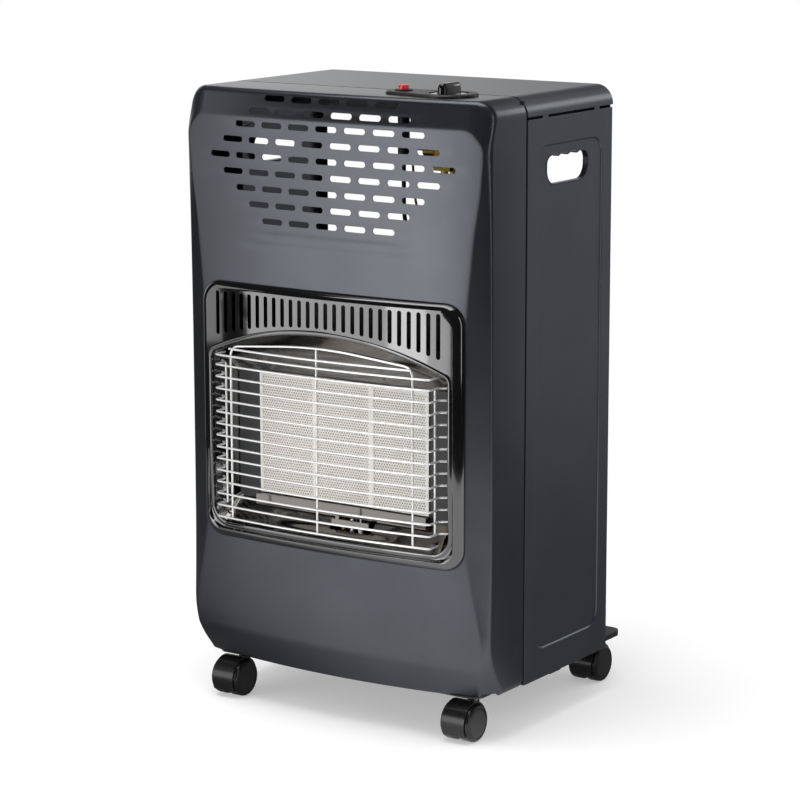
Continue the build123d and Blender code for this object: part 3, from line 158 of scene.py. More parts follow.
# Bright nickel-chrome plating on drawn wire
chromeWire = makeFinish("chromedWire", ("#efefef", "#f6f6f6"), 20, (0.18, 0.22), 1.5, 0.001, metallic=0.6)
# Turned brass: tap, nozzle, injectors, drawn darker than bright brass: partly its own colour, partly painted shade of
# the compartment it sits in
turnedBrass = makeFinish("turnedBrass", ("#7d6838", "#968049"), 12, (0.26, 0.32), 0.8, 0.002, metallic=1.0,
                         stretch=(3, 3, 1))
# Drawn aluminium tube
drawnTube = makeFinish("drawnAluminiumTube", ("#a3a6a8", "#b7babc"), 25, (0.28, 0.38), 1, 0.004, metallic=1.0)
# Drawn copper capillary of the thermocouple
drawnCopper = makeFinish("drawnCopperLead", ("#8f5136", "#a9644a"), 15, (0.28, 0.4), 1, 0.004, metallic=1.0)
# Silicone sleeve over the ignition lead
siliconeSleeve = makeFinish("siliconeSleeve", ("#161616", "#1f1f1f"), 20, (0.5, 0.62), 1, 0.01)
# Injection-moulded gloss ABS of the knob
glossAbs = makeFinish("glossBlackAbs", ("#0b0b0c", "#101011"), 30, (0.10, 0.16), 6, 0.006, coat=0.3,
                      coatRough=0.06)
# Spark-eroded satin nylon of the control plate
satinNylon = makeFinish("satinBlackNylon", ("#1b1b1d", "#222224"), 40, (0.36, 0.46), 0.9, 0.02)
# Moulded red ABS of the button
redAbs = makeFinish("glossRedAbs", ("#c21d1d", "#d22a27"), 20, (0.16, 0.24), 4, 0.006, coat=0.3, coatRough=0.08)
# Polypropylene of the castor hoods and treads: black with a slight bloom
castorBlack = makeFinish("castorPolypropylene", ("#141415", "#1a1a1b"), 25, (0.24, 0.28), 1.1, 0.002)
# Polypropylene of the wheels' smoother caps, moulded a shade lighter
castorCap = makeFinish("capPolypropylene", ("#1c1d1f", "#222325"), 25, (0.20, 0.23), 1.1, 0.002)
# Ceramic fibre board and paste between the plaques: dry and off-white
fibreBoard = makeFinish("ceramicFibreBoard", ("#efebe4", "#f8f5ef"), 10, (0.8, 0.95), 1.2, 0.05)
# Zinc-plated turned steel
zincPlate = makeFinish("zincPlatedSteel", ("#9a9c9c", "#b4b6b6"), 8, (0.25, 0.38), 0.8, 0.004, metallic=1.0)

# Cordierite ceramic, pressed and pierced by rows of flame ports. Real ports are 1.2 mm at 2.4 mm:
# drawn slightly coarser so that they show
plaque = {"pitch": 3.5, "row": 3.05, "portRadius": 0.7125, "soft": 0.6, "deep": 0.5, "patch": 14,
          "body": ("#ebe7e0", "#f6f3ee"), "hole": "#979085", "rough": 0.85,
          "spacing": 79, "halfWidth": 36, "middleZ": 332, "halfHeight": 69}


def makeCeramic():
    material, tree, shader = newMaterial("piercedCordierite")
    place = addNode(tree, "ShaderNodeTexCoord").outputs["Object"]
    cloud = addNode(tree, "ShaderNodeTexNoise", {"Scale": 1000 / plaque["patch"], "Detail": 5.0, "Vector": place})
    body = addTint(tree, cloud.outputs["Fac"], *[linear(colour) for colour in plaque["body"]])
    axes = addNode(tree, "ShaderNodeSeparateXYZ", {"Vector": place})
    # rows of ports, every other row set off by half a pitch
    rows = addMath(tree, "DIVIDE", axes.outputs["Z"], plaque["row"] * mm)
    whole = addMath(tree, "FLOOR", rows)
    inRow = addMath(tree, "SUBTRACT", rows, whole)
    setOff = addMath(tree, "MULTIPLY", addMath(tree, "FLOORED_MODULO", whole, 2.0), 0.5)
    columns = addMath(tree, "DIVIDE", axes.outputs["X"], plaque["pitch"] * mm)
    inColumn = addMath(tree, "FRACT", addMath(tree, "ADD", columns, setOff))
    spot = addNode(tree, "ShaderNodeCombineXYZ", {"X": inColumn, "Z": inRow}).outputs["Vector"]
    reach = addNode(tree, "ShaderNodeVectorMath", {"operation": "DISTANCE", 0: spot, 1: (0.5, 0.0, 0.5)})
    rim, fade = plaque["portRadius"] / plaque["pitch"], plaque["soft"] / plaque["pitch"]
    port = addRange(tree, reach.outputs["Value"], rim, rim + fade, 1.0, 0.0)
    # each plaque keeps an unpierced border
    turn = addMath(tree, "DIVIDE", axes.outputs["X"], plaque["spacing"] * mm)
    sideways = addMath(tree, "ABSOLUTE", addMath(tree, "SUBTRACT", turn, addMath(tree, "ROUND", turn)))
    within = addMath(tree, "LESS_THAN", sideways, plaque["halfWidth"] / plaque["spacing"])
    upDown = addMath(tree, "ABSOLUTE", addMath(tree, "SUBTRACT", axes.outputs["Z"], plaque["middleZ"] * mm))
    between = addMath(tree, "LESS_THAN", upDown, plaque["halfHeight"] * mm)
    pierced = addMath(tree, "MULTIPLY", port, addMath(tree, "MULTIPLY", within, between))
    relief = addNode(tree, "ShaderNodeBump", {"Strength": 0.7, "Distance": plaque["deep"] * mm,
                                              "Height": addMath(tree, "SUBTRACT", 1.0, pierced)})
    # the ports are painted a darker grey: painted shade inside the holes
    tree.links.new(addTint(tree, pierced, body, linear(plaque["hole"])), shader.inputs["Base Color"])
    tree.links.new(relief.outputs["Normal"], shader.inputs["Normal"])
    shader.inputs["Roughness"].default_value = plaque["rough"]
    return material


ceramic = makeCeramic()
print("finishes made")


def select(piece):
    bpy.ops.object.select_all(action="DESELECT")
    piece.select_set(True)
    bpy.context.view_layer.objects.active = piece


def smooth(piece, angle=32):
    select(piece)
    bpy.ops.object.shade_smooth_by_angle(angle=radians(angle))


def modify(piece, kind, **settings):
    select(piece)
    modifier = piece.modifiers.new("step", kind)
    for key, value in settings.items():
        setattr(modifier, key, value)
    bpy.ops.object.modifier_apply(modifier="step")


def openMesh(piece):
    select(piece)
    bpy.ops.object.mode_set(mode="EDIT")
    bpy.ops.mesh.select_all(action="SELECT")


def closeMesh():
    bpy.ops.object.mode_set(mode="OBJECT")


def flipNormals(piece):
    openMesh(piece)
    bpy.ops.mesh.flip_normals()
    closeMesh()


def joined(name, *pieces):  # onto the first of them
    select(pieces[0])
    for other in pieces[1:]:
        other.select_set(True)
    bpy.ops.object.join()
    pieces[0].name = name
    return pieces[0]


def finish(piece, material, body, slot, *nodes):
    piece.data.materials.clear()
    piece.data.materials.append(material)
    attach(piece, body)
    if nodes:
        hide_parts(*nodes)
    return piece


def meshPiece(name, points, faces, edges=()):
    mesh = bpy.data.meshes.new(name)
    mesh.from_pydata([(x * mm, y * mm, z * mm) for x, y, z in points], edges, faces)
    mesh.update()
    piece = bpy.data.objects.new(name, mesh)
    bpy.context.scene.collection.objects.link(piece)
    return piece


def loft(name, rings, ends=False):
    count = len(rings[0])
    points = [p for ring in rings for p in ring]
    faces = []
    for i in range(len(rings) - 1):
        for j in range(count):
            k = (j + 1) % count
            faces.append((i * count + j, i * count + k, (i + 1) * count + k, (i + 1) * count + j))
    if ends:
        faces.append(tuple(reversed(range(count))))
        faces.append(tuple(range((len(rings) - 1) * count, len(rings) * count)))
    return meshPiece(name, points, faces)


def cleanNormals(piece, merge=0.02):
    openMesh(piece)
    bpy.ops.mesh.remove_doubles(threshold=merge * mm)
    bpy.ops.mesh.dissolve_degenerate(threshold=merge * mm)
    bpy.ops.mesh.normals_make_consistent(inside=False)
    closeMesh()


def turned(name, profile, centre, axis, steps):  # a profile spun once round an axis
    piece = meshPiece(name, profile, [], [(k, k + 1) for k in range(len(profile) - 1)])
    openMesh(piece)
    bpy.ops.mesh.spin(steps=steps, angle=2 * pi, center=[c * mm for c in centre], axis=axis)
    closeMesh()
    cleanNormals(piece)
    return piece


def giveThickness(piece, thickness):  # behind the face that was drawn
    modify(piece, "SOLIDIFY", thickness=thickness * mm, offset=-1, use_even_offset=True)


def cutWith(piece, cutter):
    modify(piece, "BOOLEAN", operation="DIFFERENCE", solver="EXACT", object=cutter)
    bpy.data.objects.remove(cutter)


def prisms(name, outlines, low, high, axis="y"):
    points, faces = [], []
    for outline in outlines:
        start, count = len(points), len(outline)
        for level in (low, high):
            points += [(a, level, b) if axis == "y" else (a, b, level) for a, b in outline]
        for j in range(count):
            k = (j + 1) % count
            faces.append((start + j, start + k, start + count + k, start + count + j))
        faces.append(tuple(range(start + count - 1, start - 1, -1)))
        faces.append(tuple(range(start + count, start + 2 * count)))
    piece = meshPiece(name, points, faces)
    cleanNormals(piece, 0.001)
    return piece


def roundRect(cx, cy, width, height, r, steps=8, last=1):
    outline = []
    for k, (sx, sy) in enumerate(((1, 1), (-1, 1), (-1, -1), (1, -1))):
        for i in range(steps + last):
            turn = k * pi / 2 + i / steps * pi / 2
            outline.append((cx + sx * (width / 2 - r) + r * cos(turn), cy + sy * (height / 2 - r) + r * sin(turn)))
    return outline


def stadium(cx, cy, width, height, steps=7):
    return roundRect(cx, cy, width, height, min(width, height) / 2, steps, 0)


def bowY(x, middle, radius):
    return middle + radius - sqrt(radius ** 2 - x ** 2)


def clamped(t):
    return min(1, max(0, t))


def eased(t):
    return t * t * (3 - 2 * t)


# Front cover: a bowed field between two flat flanks, whose foot draws back.
# Each station is height, flank width, drop of the side edge, drop of the field and drop of its ends;
# ease is how far up and down each of the last four is smoothed.
cover = {"half": 210, "foot": 54.5, "top": 738, "seam": -79.5, "middle": -170, "edge": -153, "bow": 1800,
         "topCorner": 22, "footCorner": 12, "sheet": 1.2, "flange": 13, "edgeRound": 3.2, "topRound": 5.5,
         "roundFrom": 700, "roundOver": 25, "crease": 0.7, "brow": 706, "browCorner": 25, "browSlope": 0.3,
         "fluteDepth": 0.32, "fluteHalf": 7.5, "fluteReach": 30, "fluteFade": 16,
         "stations": ((54.5, 21, 30, 9, 10), (75, 14, 17, 3.2, 4), (90, 10, 9, 0, 1), (108, 6.5, 2, 0, 0),
                      (126, 7, 0, 0, 0), (152, 13, 0, 0, 0), (182, 19.5, 0, 0, 0), (222, 26.5, 0, 0, 0),
                      (290, 29.5, 0, 0, 0), (376, 30, 0, 0, 0), (462, 28.8, 0, 0, 0), (519, 24, 0, 0, 0),
                      (591, 16.5, 0, 0, 0), (633, 9.5, 0, 0, 0), (674, 6, 0, 0, 0), (738, 6, 0, 0, 0)),
         "ease": (8, 6, 2.5, 4), "slotCounts": (5, 6, 7, 8, 9, 8, 7, 6, 5),
         "slotDrops": (9.2, 24, 39.8, 58.1, 76.6, 95.1, 113.6, 132.1, 150.6), "slotPitch": 38.6,
         "slotSize": (29, 7), "slotCut": (-190, -120), "plainFlutes": ((5, 167.5, 0.6), (6, 178, 0.45)),
         "bezelHole": (0, 359.25, 346, 289.5, 17), "controlHoles": ((128, -111, 49.6, 12), (67, -111, 16.3, 8)),
         "controlCut": (731, 744), "footHole": (0, -104, 409, 75, 14), "footCut": (45, 60)}


def stationValue(z, column):
    stations = cover["stations"]
    z = min(max(z, stations[0][0]), stations[-1][0])
    for low, high in zip(stations, stations[1:]):
        if z <= high[0]:
            return low[column] + (high[column] - low[column]) * (z - low[0]) / (high[0] - low[0])


def smoothValue(z, column):
    reach = cover["ease"][column - 1]
    return sum(stationValue(z + reach * (k / 4 - 1), column) for k in range(9)) / 9


def edgeX(z):  # half the cover's width at this height, round corners and all
    top, foot = cover["top"] - cover["topCorner"], cover["foot"] + cover["footCorner"]
    if z > top:
        return cover["half"] - cover["topCorner"] + sqrt(max(0, cover["topCorner"] ** 2 - (z - top) ** 2))
    if z < foot:
        return cover["half"] - cover["footCorner"] + sqrt(max(0, cover["footCorner"] ** 2 - (z - foot) ** 2))
    return cover["half"]


def insideBy(x, z):  # distance from the cover's outline in front view
    x, reach = abs(x), []
    for level, corner, sign in ((cover["top"], cover["topCorner"], 1), (cover["foot"], cover["footCorner"], -1)):
        dx, dz = x - (cover["half"] - corner), sign * (z - level) + corner
        if dx > 0 and dz > 0:
            reach.append(corner - sqrt(dx * dx + dz * dz))
        else:
            reach.append(min(cover["half"] - x, sign * (level - z)))
    return max(0, min(reach))


def coverRow(z):
    flank, edgeDrop, fieldDrop, endDrop = [smoothValue(z, column) for column in (1, 2, 3, 4)]
    fieldX = cover["half"] - flank
    middle = cover["middle"] + fieldDrop
    creaseY = bowY(fieldX, middle, cover["bow"]) + endDrop
    slope = (cover["edge"] + edgeDrop - creaseY) / flank
    flutes = [(count, drop, cover["fluteDepth"]) for count, drop in zip(cover["slotCounts"], cover["slotDrops"])]
    flutes += cover["plainFlutes"]

    def depth(x):
        # the field ends at the side creases and under the brow, round a corner between them
        base = middle + (creaseY - middle) * (x / fieldX) ** 2
        corner = cover["browCorner"]
        across, above = abs(x) - (fieldX - corner), z - (cover["brow"] - corner)
        if across > 0 and above > 0:
            past, steep = sqrt(across ** 2 + above ** 2) - corner, (above ** 2) / (across ** 2 + above ** 2)
        else:
            past = max(across, above) - corner
            steep = 1 if above > across else 0
        fall = past * (slope + (cover["browSlope"] - slope) * steep)
        y = base + (fall + sqrt(fall ** 2 + cover["crease"] ** 2)) / 2
        for count, drop, deep in flutes:  # faint flutes along the rows
            off = abs(z - (cover["top"] - drop)) / cover["fluteHalf"]
            if off < 1:
                end = cover["slotPitch"] * (count - 1) / 2 + cover["fluteReach"] - abs(x)
                y += deep * (1 + cos(pi * off)) / 2 * clamped(end / cover["fluteFade"])
        share = clamped((z - cover["roundFrom"]) / cover["roundOver"])
        turn = cover["edgeRound"] + (cover["topRound"] - cover["edgeRound"]) * share
        inside = insideBy(x, z)
        if inside < turn:
            y += turn - sqrt(turn ** 2 - (turn - inside) ** 2)
        return min(y, cover["seam"] - 2)

    return fieldX, depth


def coverSurface():
    # rows close up towards the rounded ends; each run between them is start, step and count
    rises = [0, 0.3, 0.9, 1.9, 3.3, 5, 7, 9.5, 12.5, 16]
    runs = ((cover["foot"] + 20, 4, 18), (cover["foot"] + 94, 12, 33), (548, 2.4, 52), (672.5, 1.3, 50))
    heights = [cover["foot"] + rise for rise in rises]
    heights += [start + step * k for start, step, count in runs for k in range(count)]
    heights = [z for z in heights if z < cover["top"] - rises[-1] - 1]
    heights += [cover["top"] - rise for rise in reversed(rises)]
    rows = []
    for z in heights:
        fieldX, depth = coverRow(z)
        limit = edgeX(z)
        # columns close up towards the crease and again towards the rounded side edge
        narrow = min(1, max(0.02, (limit - fieldX) / 9))
        half = [(fieldX - 38) * k / 11 for k in range(11)] + [fieldX - 38 + 2 * k for k in range(14)]
        half += [fieldX - 12 + k for k in (4, 7, 9, 10.2, 11)]
        half += [fieldX + narrow * k for k in (-0.4, 0, 0.5, 1.1, 2)]
        outer = fieldX + narrow * 2
        rounding = [limit - r * min(1, max(0, limit - outer) / 8) for r in (5.5, 4, 2.8, 1.6, 0.75, 0.22, 0)]
        half += [outer + (rounding[0] - outer) * k / 3 for k in (1, 2)] + rounding
        half = [min(x, limit) for x in half]
        xs = [-x for x in reversed(half[1:])] + half
        rows.append([(x, depth(x), z) for x in xs])
    return rows


def makeFrontCover():
    rows = coverSurface()
    across = len(rows[0])
    points = [p for row in rows for p in row]
    faces = []
    for i in range(len(rows) - 1):
        for j in range(across - 1):
            a = i * across + j
            faces.append((a, a + 1, a + across + 1, a + across))
    # the outline goes back to the seam, then turns in as a flange
    rim = list(range(across)) + [i * across + across - 1 for i in range(1, len(rows))]
    rim += [(len(rows) - 1) * across + j for j in range(across - 2, -1, -1)]
    rim += [i * across for i in range(len(rows) - 2, 0, -1)]
    inner = cover["half"] - cover["flange"]
    previous = rim
    for level in range(2):
        start = len(points)
        for index in rim:
            x, y, z = points[index]
            if level:
                x = max(-inner, min(inner, x))
                z = max(cover["foot"] + cover["flange"], min(cover["top"] - cover["flange"], z))
            points.append((x, cover["seam"], z))
        ring = list(range(start, start + len(rim)))
        for j in range(len(rim)):
            k = (j + 1) % len(rim)
            faces.append((previous[k], previous[j], ring[j], ring[k]))
        previous = ring
    piece = meshPiece("frontCoverSheet", points, faces)
    cleanNormals(piece, 0.03)
    giveThickness(piece, cover["sheet"])
    slots = []
    for count, drop in zip(cover["slotCounts"], cover["slotDrops"]):
        for k in range(count):
            slots.append(stadium(cover["slotPitch"] * (k - (count - 1) / 2), cover["top"] - drop, *cover["slotSize"]))
    slots.append(roundRect(*cover["bezelHole"]))
    cutWith(piece, prisms("slotCutter", slots, *cover["slotCut"]))
    holes = [stadium(x, y, across, across, steps) for x, y, across, steps in cover["controlHoles"]]
    cutWith(piece, prisms("topCutter", holes, *cover["controlCut"], "z"))
    cutWith(piece, prisms("footCutter", [roundRect(*cover["footHole"])], *cover["footCut"], "z"))
    smooth(piece, 28)
    return finish(piece, frontPaint, "cabinet", "anthracite_paint", "front_cover")


makeFrontCover()
print("front cover made")


# Bezel: enamelled pressing with a rolled outer edge, an arched opening and upright vents
bezel = {"width": 364, "low": 205.5, "top": 513, "corner": 26, "proud": 11.5, "tuck": 0.1, "bow": 1400, "roll": 10,
         "openHalf": 165, "openFoot": 225, "shoulder": 428, "peak": 462.5, "openCorner": 22, "shoulderCorner": 8,
         "lip": 6, "lipRise": 1.3, "rim": 14, "lean": 2.8, "leanReach": 90, "sheet": 1.5, "ventCount": 26,
         "ventPitch": 12.3, "ventWidth": 5.6, "ventTop": 502, "ventMiddle": 31, "ventEnd": 52,
         "ventCut": (-200, -150)}


def frameLoop(half, foot, shoulder, peak, lowCorner, highCorner, counts=(14, 30, 10, 48)):
    # closed loop: low right corner, right side, right shoulder, arch, and the same mirrored
    rise = peak - shoulder
    arc = (half ** 2 + rise ** 2) / (2 * rise)
    centre = peak - arc
    cornerX = half - highCorner
    cornerZ = centre + sqrt((arc - highCorner) ** 2 - cornerX ** 2)
    lean = atan2(cornerZ - centre, cornerX)
    low, side, high, top = counts
    right = []
    for i in range(low + 1):
        turn = -pi / 2 + pi / 2 * i / low
        right.append((half - lowCorner + lowCorner * cos(turn), foot + lowCorner + lowCorner * sin(turn)))
    start = right[-1][1]
    right += [(half, start + (cornerZ - start) * k / side) for k in range(1, side)]
    for i in range(high + 1):
        turn = lean * i / high
        right.append((cornerX + highCorner * cos(turn), cornerZ + highCorner * sin(turn)))
    arch = []
    for k in range(1, top):
        turn = lean + (pi - 2 * lean) * k / top
        arch.append((arc * cos(turn), centre + arc * sin(turn)))
    left = [(-x, z) for x, z in reversed(right)]
    x0 = right[0][0]
    base = [(-x0 + 2 * x0 * k / top, foot) for k in range(1, top)]
    return right + arch + left + base


def outerLoop(inset):
    return frameLoop(bezel["width"] / 2 - inset, bezel["low"] + inset, bezel["top"] - inset - 0.02,
                     bezel["top"] - inset, bezel["corner"] - inset, bezel["corner"] - inset)


def openingLoop(grow):
    rise = bezel["peak"] - bezel["shoulder"]
    arc = (bezel["openHalf"] ** 2 + rise ** 2) / (2 * rise)
    centre = bezel["peak"] - arc
    half = bezel["openHalf"] + grow
    return frameLoop(half, bezel["openFoot"] - grow, centre + sqrt((arc + grow) ** 2 - half ** 2),
                     bezel["peak"] + grow, bezel["openCorner"] + grow, bezel["shoulderCorner"] + grow)


def bezelLean(z):  # the foot of the frame draws back towards the opening
    return bezel["lean"] * (1 - eased(clamped((z - bezel["openFoot"]) / bezel["leanReach"])))


def makeBezel():
    def face(x):
        return bowY(x, cover["middle"] - bezel["proud"], bezel["bow"])

    def foot(x):
        return bowY(x, cover["middle"] - bezel["tuck"], cover["bow"])

    rings = []
    for k in range(9):  # rolled outer edge
        turn = pi / 2 * k / 8
        loop = outerLoop(bezel["roll"] * (1 - cos(turn)))
        rings.append([(x, foot(x) + (face(x) - foot(x)) * sin(turn), z) for x, z in loop])
    outside, inside = outerLoop(bezel["roll"]), openingLoop(bezel["lip"])
    for t in (0.1, 0.25, 0.4, 0.55, 0.7, 0.85, 1):
        ring = [(a[0] + (b[0] - a[0]) * t, a[1] + (b[1] - a[1]) * t) for a, b in zip(outside, inside)]
        rings.append([(x, face(x) + eased(t) * bezelLean(z), z) for x, z in ring])
    for k in range(1, 9):  # rolled lip round the opening
        turn = pi * k / 8
        loop = openingLoop(bezel["lip"] / 2 * (1 + cos(turn)))
        rings.append([(x, face(x) + bezelLean(z) - bezel["lipRise"] * sin(turn), z) for x, z in loop])
    for back, share in ((2, 1), (8, 0.5), (bezel["rim"], 0)):
        rings.append([(x, face(x) + bezelLean(z) * share + back, z) for x, z in openingLoop(0)])
    piece = loft("bezelPressing", rings)
    cleanNormals(piece, 0.01)
    if sum(p.normal.y * p.area for p in piece.data.polygons) > 0:  # the outside faces forward
        flipNormals(piece)
    giveThickness(piece, bezel["sheet"])
    vents = []
    for k in range(bezel["ventCount"]):
        x = bezel["ventPitch"] * (k - (bezel["ventCount"] - 1) / 2)
        share = (x / (bezel["ventPitch"] * (bezel["ventCount"] - 1) / 2)) ** 2
        height = bezel["ventMiddle"] + (bezel["ventEnd"] - bezel["ventMiddle"]) * share
        vents.append(stadium(x, bezel["ventTop"] - height / 2, bezel["ventWidth"], height, 5))
    cutWith(piece, prisms("ventCutter", vents, *bezel["ventCut"]))
    smooth(piece, 35)
    finish(piece, blackEnamel, "cabinet", "black_enamel", "bezel")


makeBezel()
print("bezel made")


def roundedPath(points, radii, steps=6):
    # straight runs joined by arcs, one radius for each inner point
    path = [Vector(points[0])]
    for before, here, after, radius in zip(points, points[1:], points[2:], radii):
        a, b, c = Vector(before), Vector(here), Vector(after)
        u, v = (a - b).normalized(), (c - b).normalized()
        angle = u.angle(v)
        cut = radius / tan(angle / 2)
        centre = b + (u + v).normalized() * radius / sin(angle / 2)
        start, end = b + u * cut - centre, b + v * cut - centre
        axis, turn = start.cross(end).normalized(), start.angle(end)
        for k in range(steps + 1):
            path.append(centre + Matrix.Rotation(turn * k / steps, 3, axis) @ start)
    path.append(Vector(points[-1]))
    return path


def wirePiece(name, paths, diameter, sides=3):
    curve = bpy.data.curves.new(name, "CURVE")
    curve.dimensions = "3D"
    curve.bevel_depth = diameter / 2 * mm
    curve.bevel_resolution = sides
    curve.use_fill_caps = True
    for path in paths:
        spline = curve.splines.new("POLY")
        spline.points.add(len(path) - 1)
        for point, place in zip(spline.points, path):
            point.co = (place[0] * mm, place[1] * mm, place[2] * mm, 1)
    piece = bpy.data.objects.new(name, curve)
    bpy.context.scene.collection.objects.link(piece)
    select(piece)
    bpy.ops.object.convert(target="MESH")
    piece = bpy.context.view_layer.objects.active
    cleanNormals(piece, 0.001)
    smooth(piece, 50)
    return piece


# Guard: bowed chromed wires with turned-back ends, a hoop and three rods behind them
guard = {"wire": 3, "drawn": 2.6, "half": 149.5, "front": -196, "bow": 1150, "foot": 234.3, "pitch": 14, "rows": 14,
         "top": 428.2, "short": 437.2, "shortHalf": 127, "back": 19, "bend": 4, "hook": 3.2,
         "hookX": 158.6, "hookDepth": 6, "hooksAbove": 240,
         "hoopHalf": 127, "hoopShoulder": 439.5, "hoopPeak": 452, "hoopCorner": 12, "rodTop": 449,
         "sideRodLow": 248, "sideRodTop": 416, "sideSetback": 16.5, "step": 3.03}


def makeGuard():
    middle = guard["front"] + guard["wire"] / 2
    endY = bowY(guard["half"], middle, guard["bow"])
    backY = endY + guard["back"]
    heights = [guard["foot"] + guard["pitch"] * k for k in range(guard["rows"])] + [guard["top"]]
    paths = []
    for z in heights:
        xs = [guard["half"] * (1 - k / 12) for k in range(1, 24)]
        bowed = [Vector((x, bowY(x, middle, guard["bow"]), z)) for x in xs]
        end = [(guard["half"], backY, z)]
        if guard["hooksAbove"] < z < guard["top"]:
            end.insert(0, (guard["hookX"], backY + guard["hookDepth"], z))
        corner = roundedPath(end + [(guard["half"], endY, z), tuple(bowed[0])],
                             [guard["hook"]] * (len(end) - 1) + [guard["bend"]])
        right = corner[:-1]
        left = [Vector((-p.x, p.y, p.z)) for p in reversed(right)]
        paths.append(right + bowed + left)
    xs = [guard["shortHalf"] * (1 - k / 12) for k in range(25)]
    paths.append([Vector((x, bowY(x, middle, guard["bow"]), guard["short"])) for x in xs])
    wires = wirePiece("guardWireRows", paths, guard["drawn"])
    finish(wires, chromeWire, "cabinet", "chrome_wire", "guard_wires")

    low, half = guard["foot"] - guard["wire"] / 2, guard["hoopHalf"]
    hoopY = bowY(half, middle, guard["bow"]) + guard["step"]
    topY = middle + 2 * guard["step"]
    reach = half * 0.4 / ((guard["hoopPeak"] - guard["hoopShoulder"]) / half)
    hoop = roundedPath([(-half, hoopY, low), (-half, hoopY, guard["hoopShoulder"]), (0, topY, guard["hoopPeak"]),
                        (half, hoopY, guard["hoopShoulder"]), (half, hoopY, low)],
                       [guard["hoopCorner"], reach, guard["hoopCorner"]], 10)
    finish(wirePiece("guardHoopWire", [hoop], guard["drawn"], 4), chromeWire, "cabinet", "chrome_wire", "guard_hoop")

    sideX, sideY = guard["half"] - guard["step"], endY + guard["sideSetback"]
    rods = [[(0, middle + guard["step"], low), (0, middle + guard["step"], guard["rodTop"])]]
    rods += [[(s * sideX, sideY, guard["sideRodLow"]), (s * sideX, sideY, guard["sideRodTop"])] for s in (-1, 1)]
    finish(wirePiece("guardRodWires", rods, guard["drawn"], 4), chromeWire, "cabinet", "chrome_wire", "guard_rods")


makeGuard()
print("guard made")


# Reflector: polished funnel from the burner out to the bezel, with an oval trough pressed in its floor.
# Rear and edge outlines: half width, foot, shoulder, peak, low corner, high corner; throat: shoulder, peak
reflector = {"rearY": -137.35, "throatY": -148, "edgeY": -168, "rear": (150, 250.5, 406, 407.5, 5, 5),
             "throat": (419, 440), "edge": (164.7, 225.3, 427.7, 462.2, 21.7, 7.7), "sheet": 0.8,
             "troughHalf": 88, "troughDepth": 2.56, "troughFrom": 0.18, "troughOver": 0.7,
             "pilotWindow": (21, -150, 58, 16, 3), "pilotCut": (215, 252), "middle": (0, -0.15, 0.33),
             "wallFrom": 0.14}


def makeReflector():
    rear, edge, throat = reflector["rear"], reflector["edge"], reflector["throat"]
    length = reflector["rearY"] - reflector["edgeY"]
    share = (reflector["rearY"] - reflector["throatY"]) / length
    rings = []
    for k in range(15):
        t = k / 14
        if t < share:
            arch = [a + (b - a) * t / share for a, b in zip(rear[2:4], throat)]
        else:
            arch = [a + (b - a) * (t - share) / (1 - share) for a, b in zip(throat, edge[2:4])]
        half, foot, lowCorner, highCorner = [rear[i] + (edge[i] - rear[i]) * t for i in (0, 1, 4, 5)]
        ring = []
        for x, z in frameLoop(half, foot, *arch, lowCorner, highCorner):
            if z < foot + 0.01 and abs(x) < reflector["troughHalf"]:
                along = clamped((t - reflector["troughFrom"]) / reflector["troughOver"])
                z -= reflector["troughDepth"] * max(0, (1 - (x / reflector["troughHalf"]) ** 4) * sin(pi * along))
            ring.append((x, reflector["rearY"] - length * t, z))
        rings.append(ring)
    piece = loft("reflectorFunnel", rings)
    cleanNormals(piece, 0.01)
    middle = Vector(reflector["middle"])
    if sum((p.center - middle).dot(p.normal) * p.area for p in piece.data.polygons) > 0:
        flipNormals(piece)
    giveThickness(piece, reflector["sheet"])
    cutWith(piece, prisms("pilotCutter", [roundRect(*reflector["pilotWindow"])], *reflector["pilotCut"], "z"))
    smooth(piece, 25)
    finish(piece, mirrorSteel, "cabinet", "mirror_steel", "reflector_hood", "reflector_tray",
           "reflector_side_left", "reflector_side_right")
    piece.data.materials.append(blackEnamel)
    for face in piece.data.polygons:  # the side walls get black enamel: a painted reflection of the dark room, on walls that are polished steel
        if abs(face.center.x) > reflector["wallFrom"] and abs(face.normal.x) > abs(face.normal.z):
            face.material_index = 1


makeReflector()
print("reflector made")


# Pipes and leads: round, along their routes inside the front compartment
pipes = {
    "supply_pipe": (6, drawnTube, "aluminium_pipe",
                    [(134, -111, 648.95), (134, -111, 610), (192, -104, 560), (194, -104, 260), (170, -116, 204),
                     (104.05, -116, 204)]),
    "pilot_pipe": (4, drawnTube, "aluminium_pipe",
                   [(122, -111, 648.95), (122, -111, 600), (180, -104, 540), (182, -104, 270), (150, -128, 196),
                    (60, -147.5, 178), (9, -151.5, 184), (9, -151.5, 224.95)]),
    "thermocouple_lead": (3, drawnCopper, "copper_lead",
                          [(96.95, -111, 676), (78, -111, 676), (84, -111, 590), (168, -104, 520), (171, -104, 280),
                           (150, -130, 206), (70, -147.5, 190), (21, -151.5, 192), (21, -151.5, 224.95)]),
    "ignition_lead": (5, siliconeSleeve, "lead_rubber",
                      [(67, -111, 659.95), (67, -111, 580), (110, -106, 530), (159, -104, 480), (161, -104, 280),
                       (150, -134, 216), (80, -148.5, 200), (33, -151.5, 198), (33, -151.5, 224.95)]),
}
for name, (diameter, material, slotName, points) in pipes.items():
    radii = []
    for before, here, after in zip(points, points[1:], points[2:]):
        a, b, c = Vector(before), Vector(here), Vector(after)
        radii.append(0.45 * min((b - a).length, (c - b).length) / tan((b - a).angle(c - b) / 2))
    tube = wirePiece(name + "_round", [roundedPath(points, radii, 8)], diameter, 3)
    finish(tube, material, "cabinet", slotName, name)
print("pipes made")


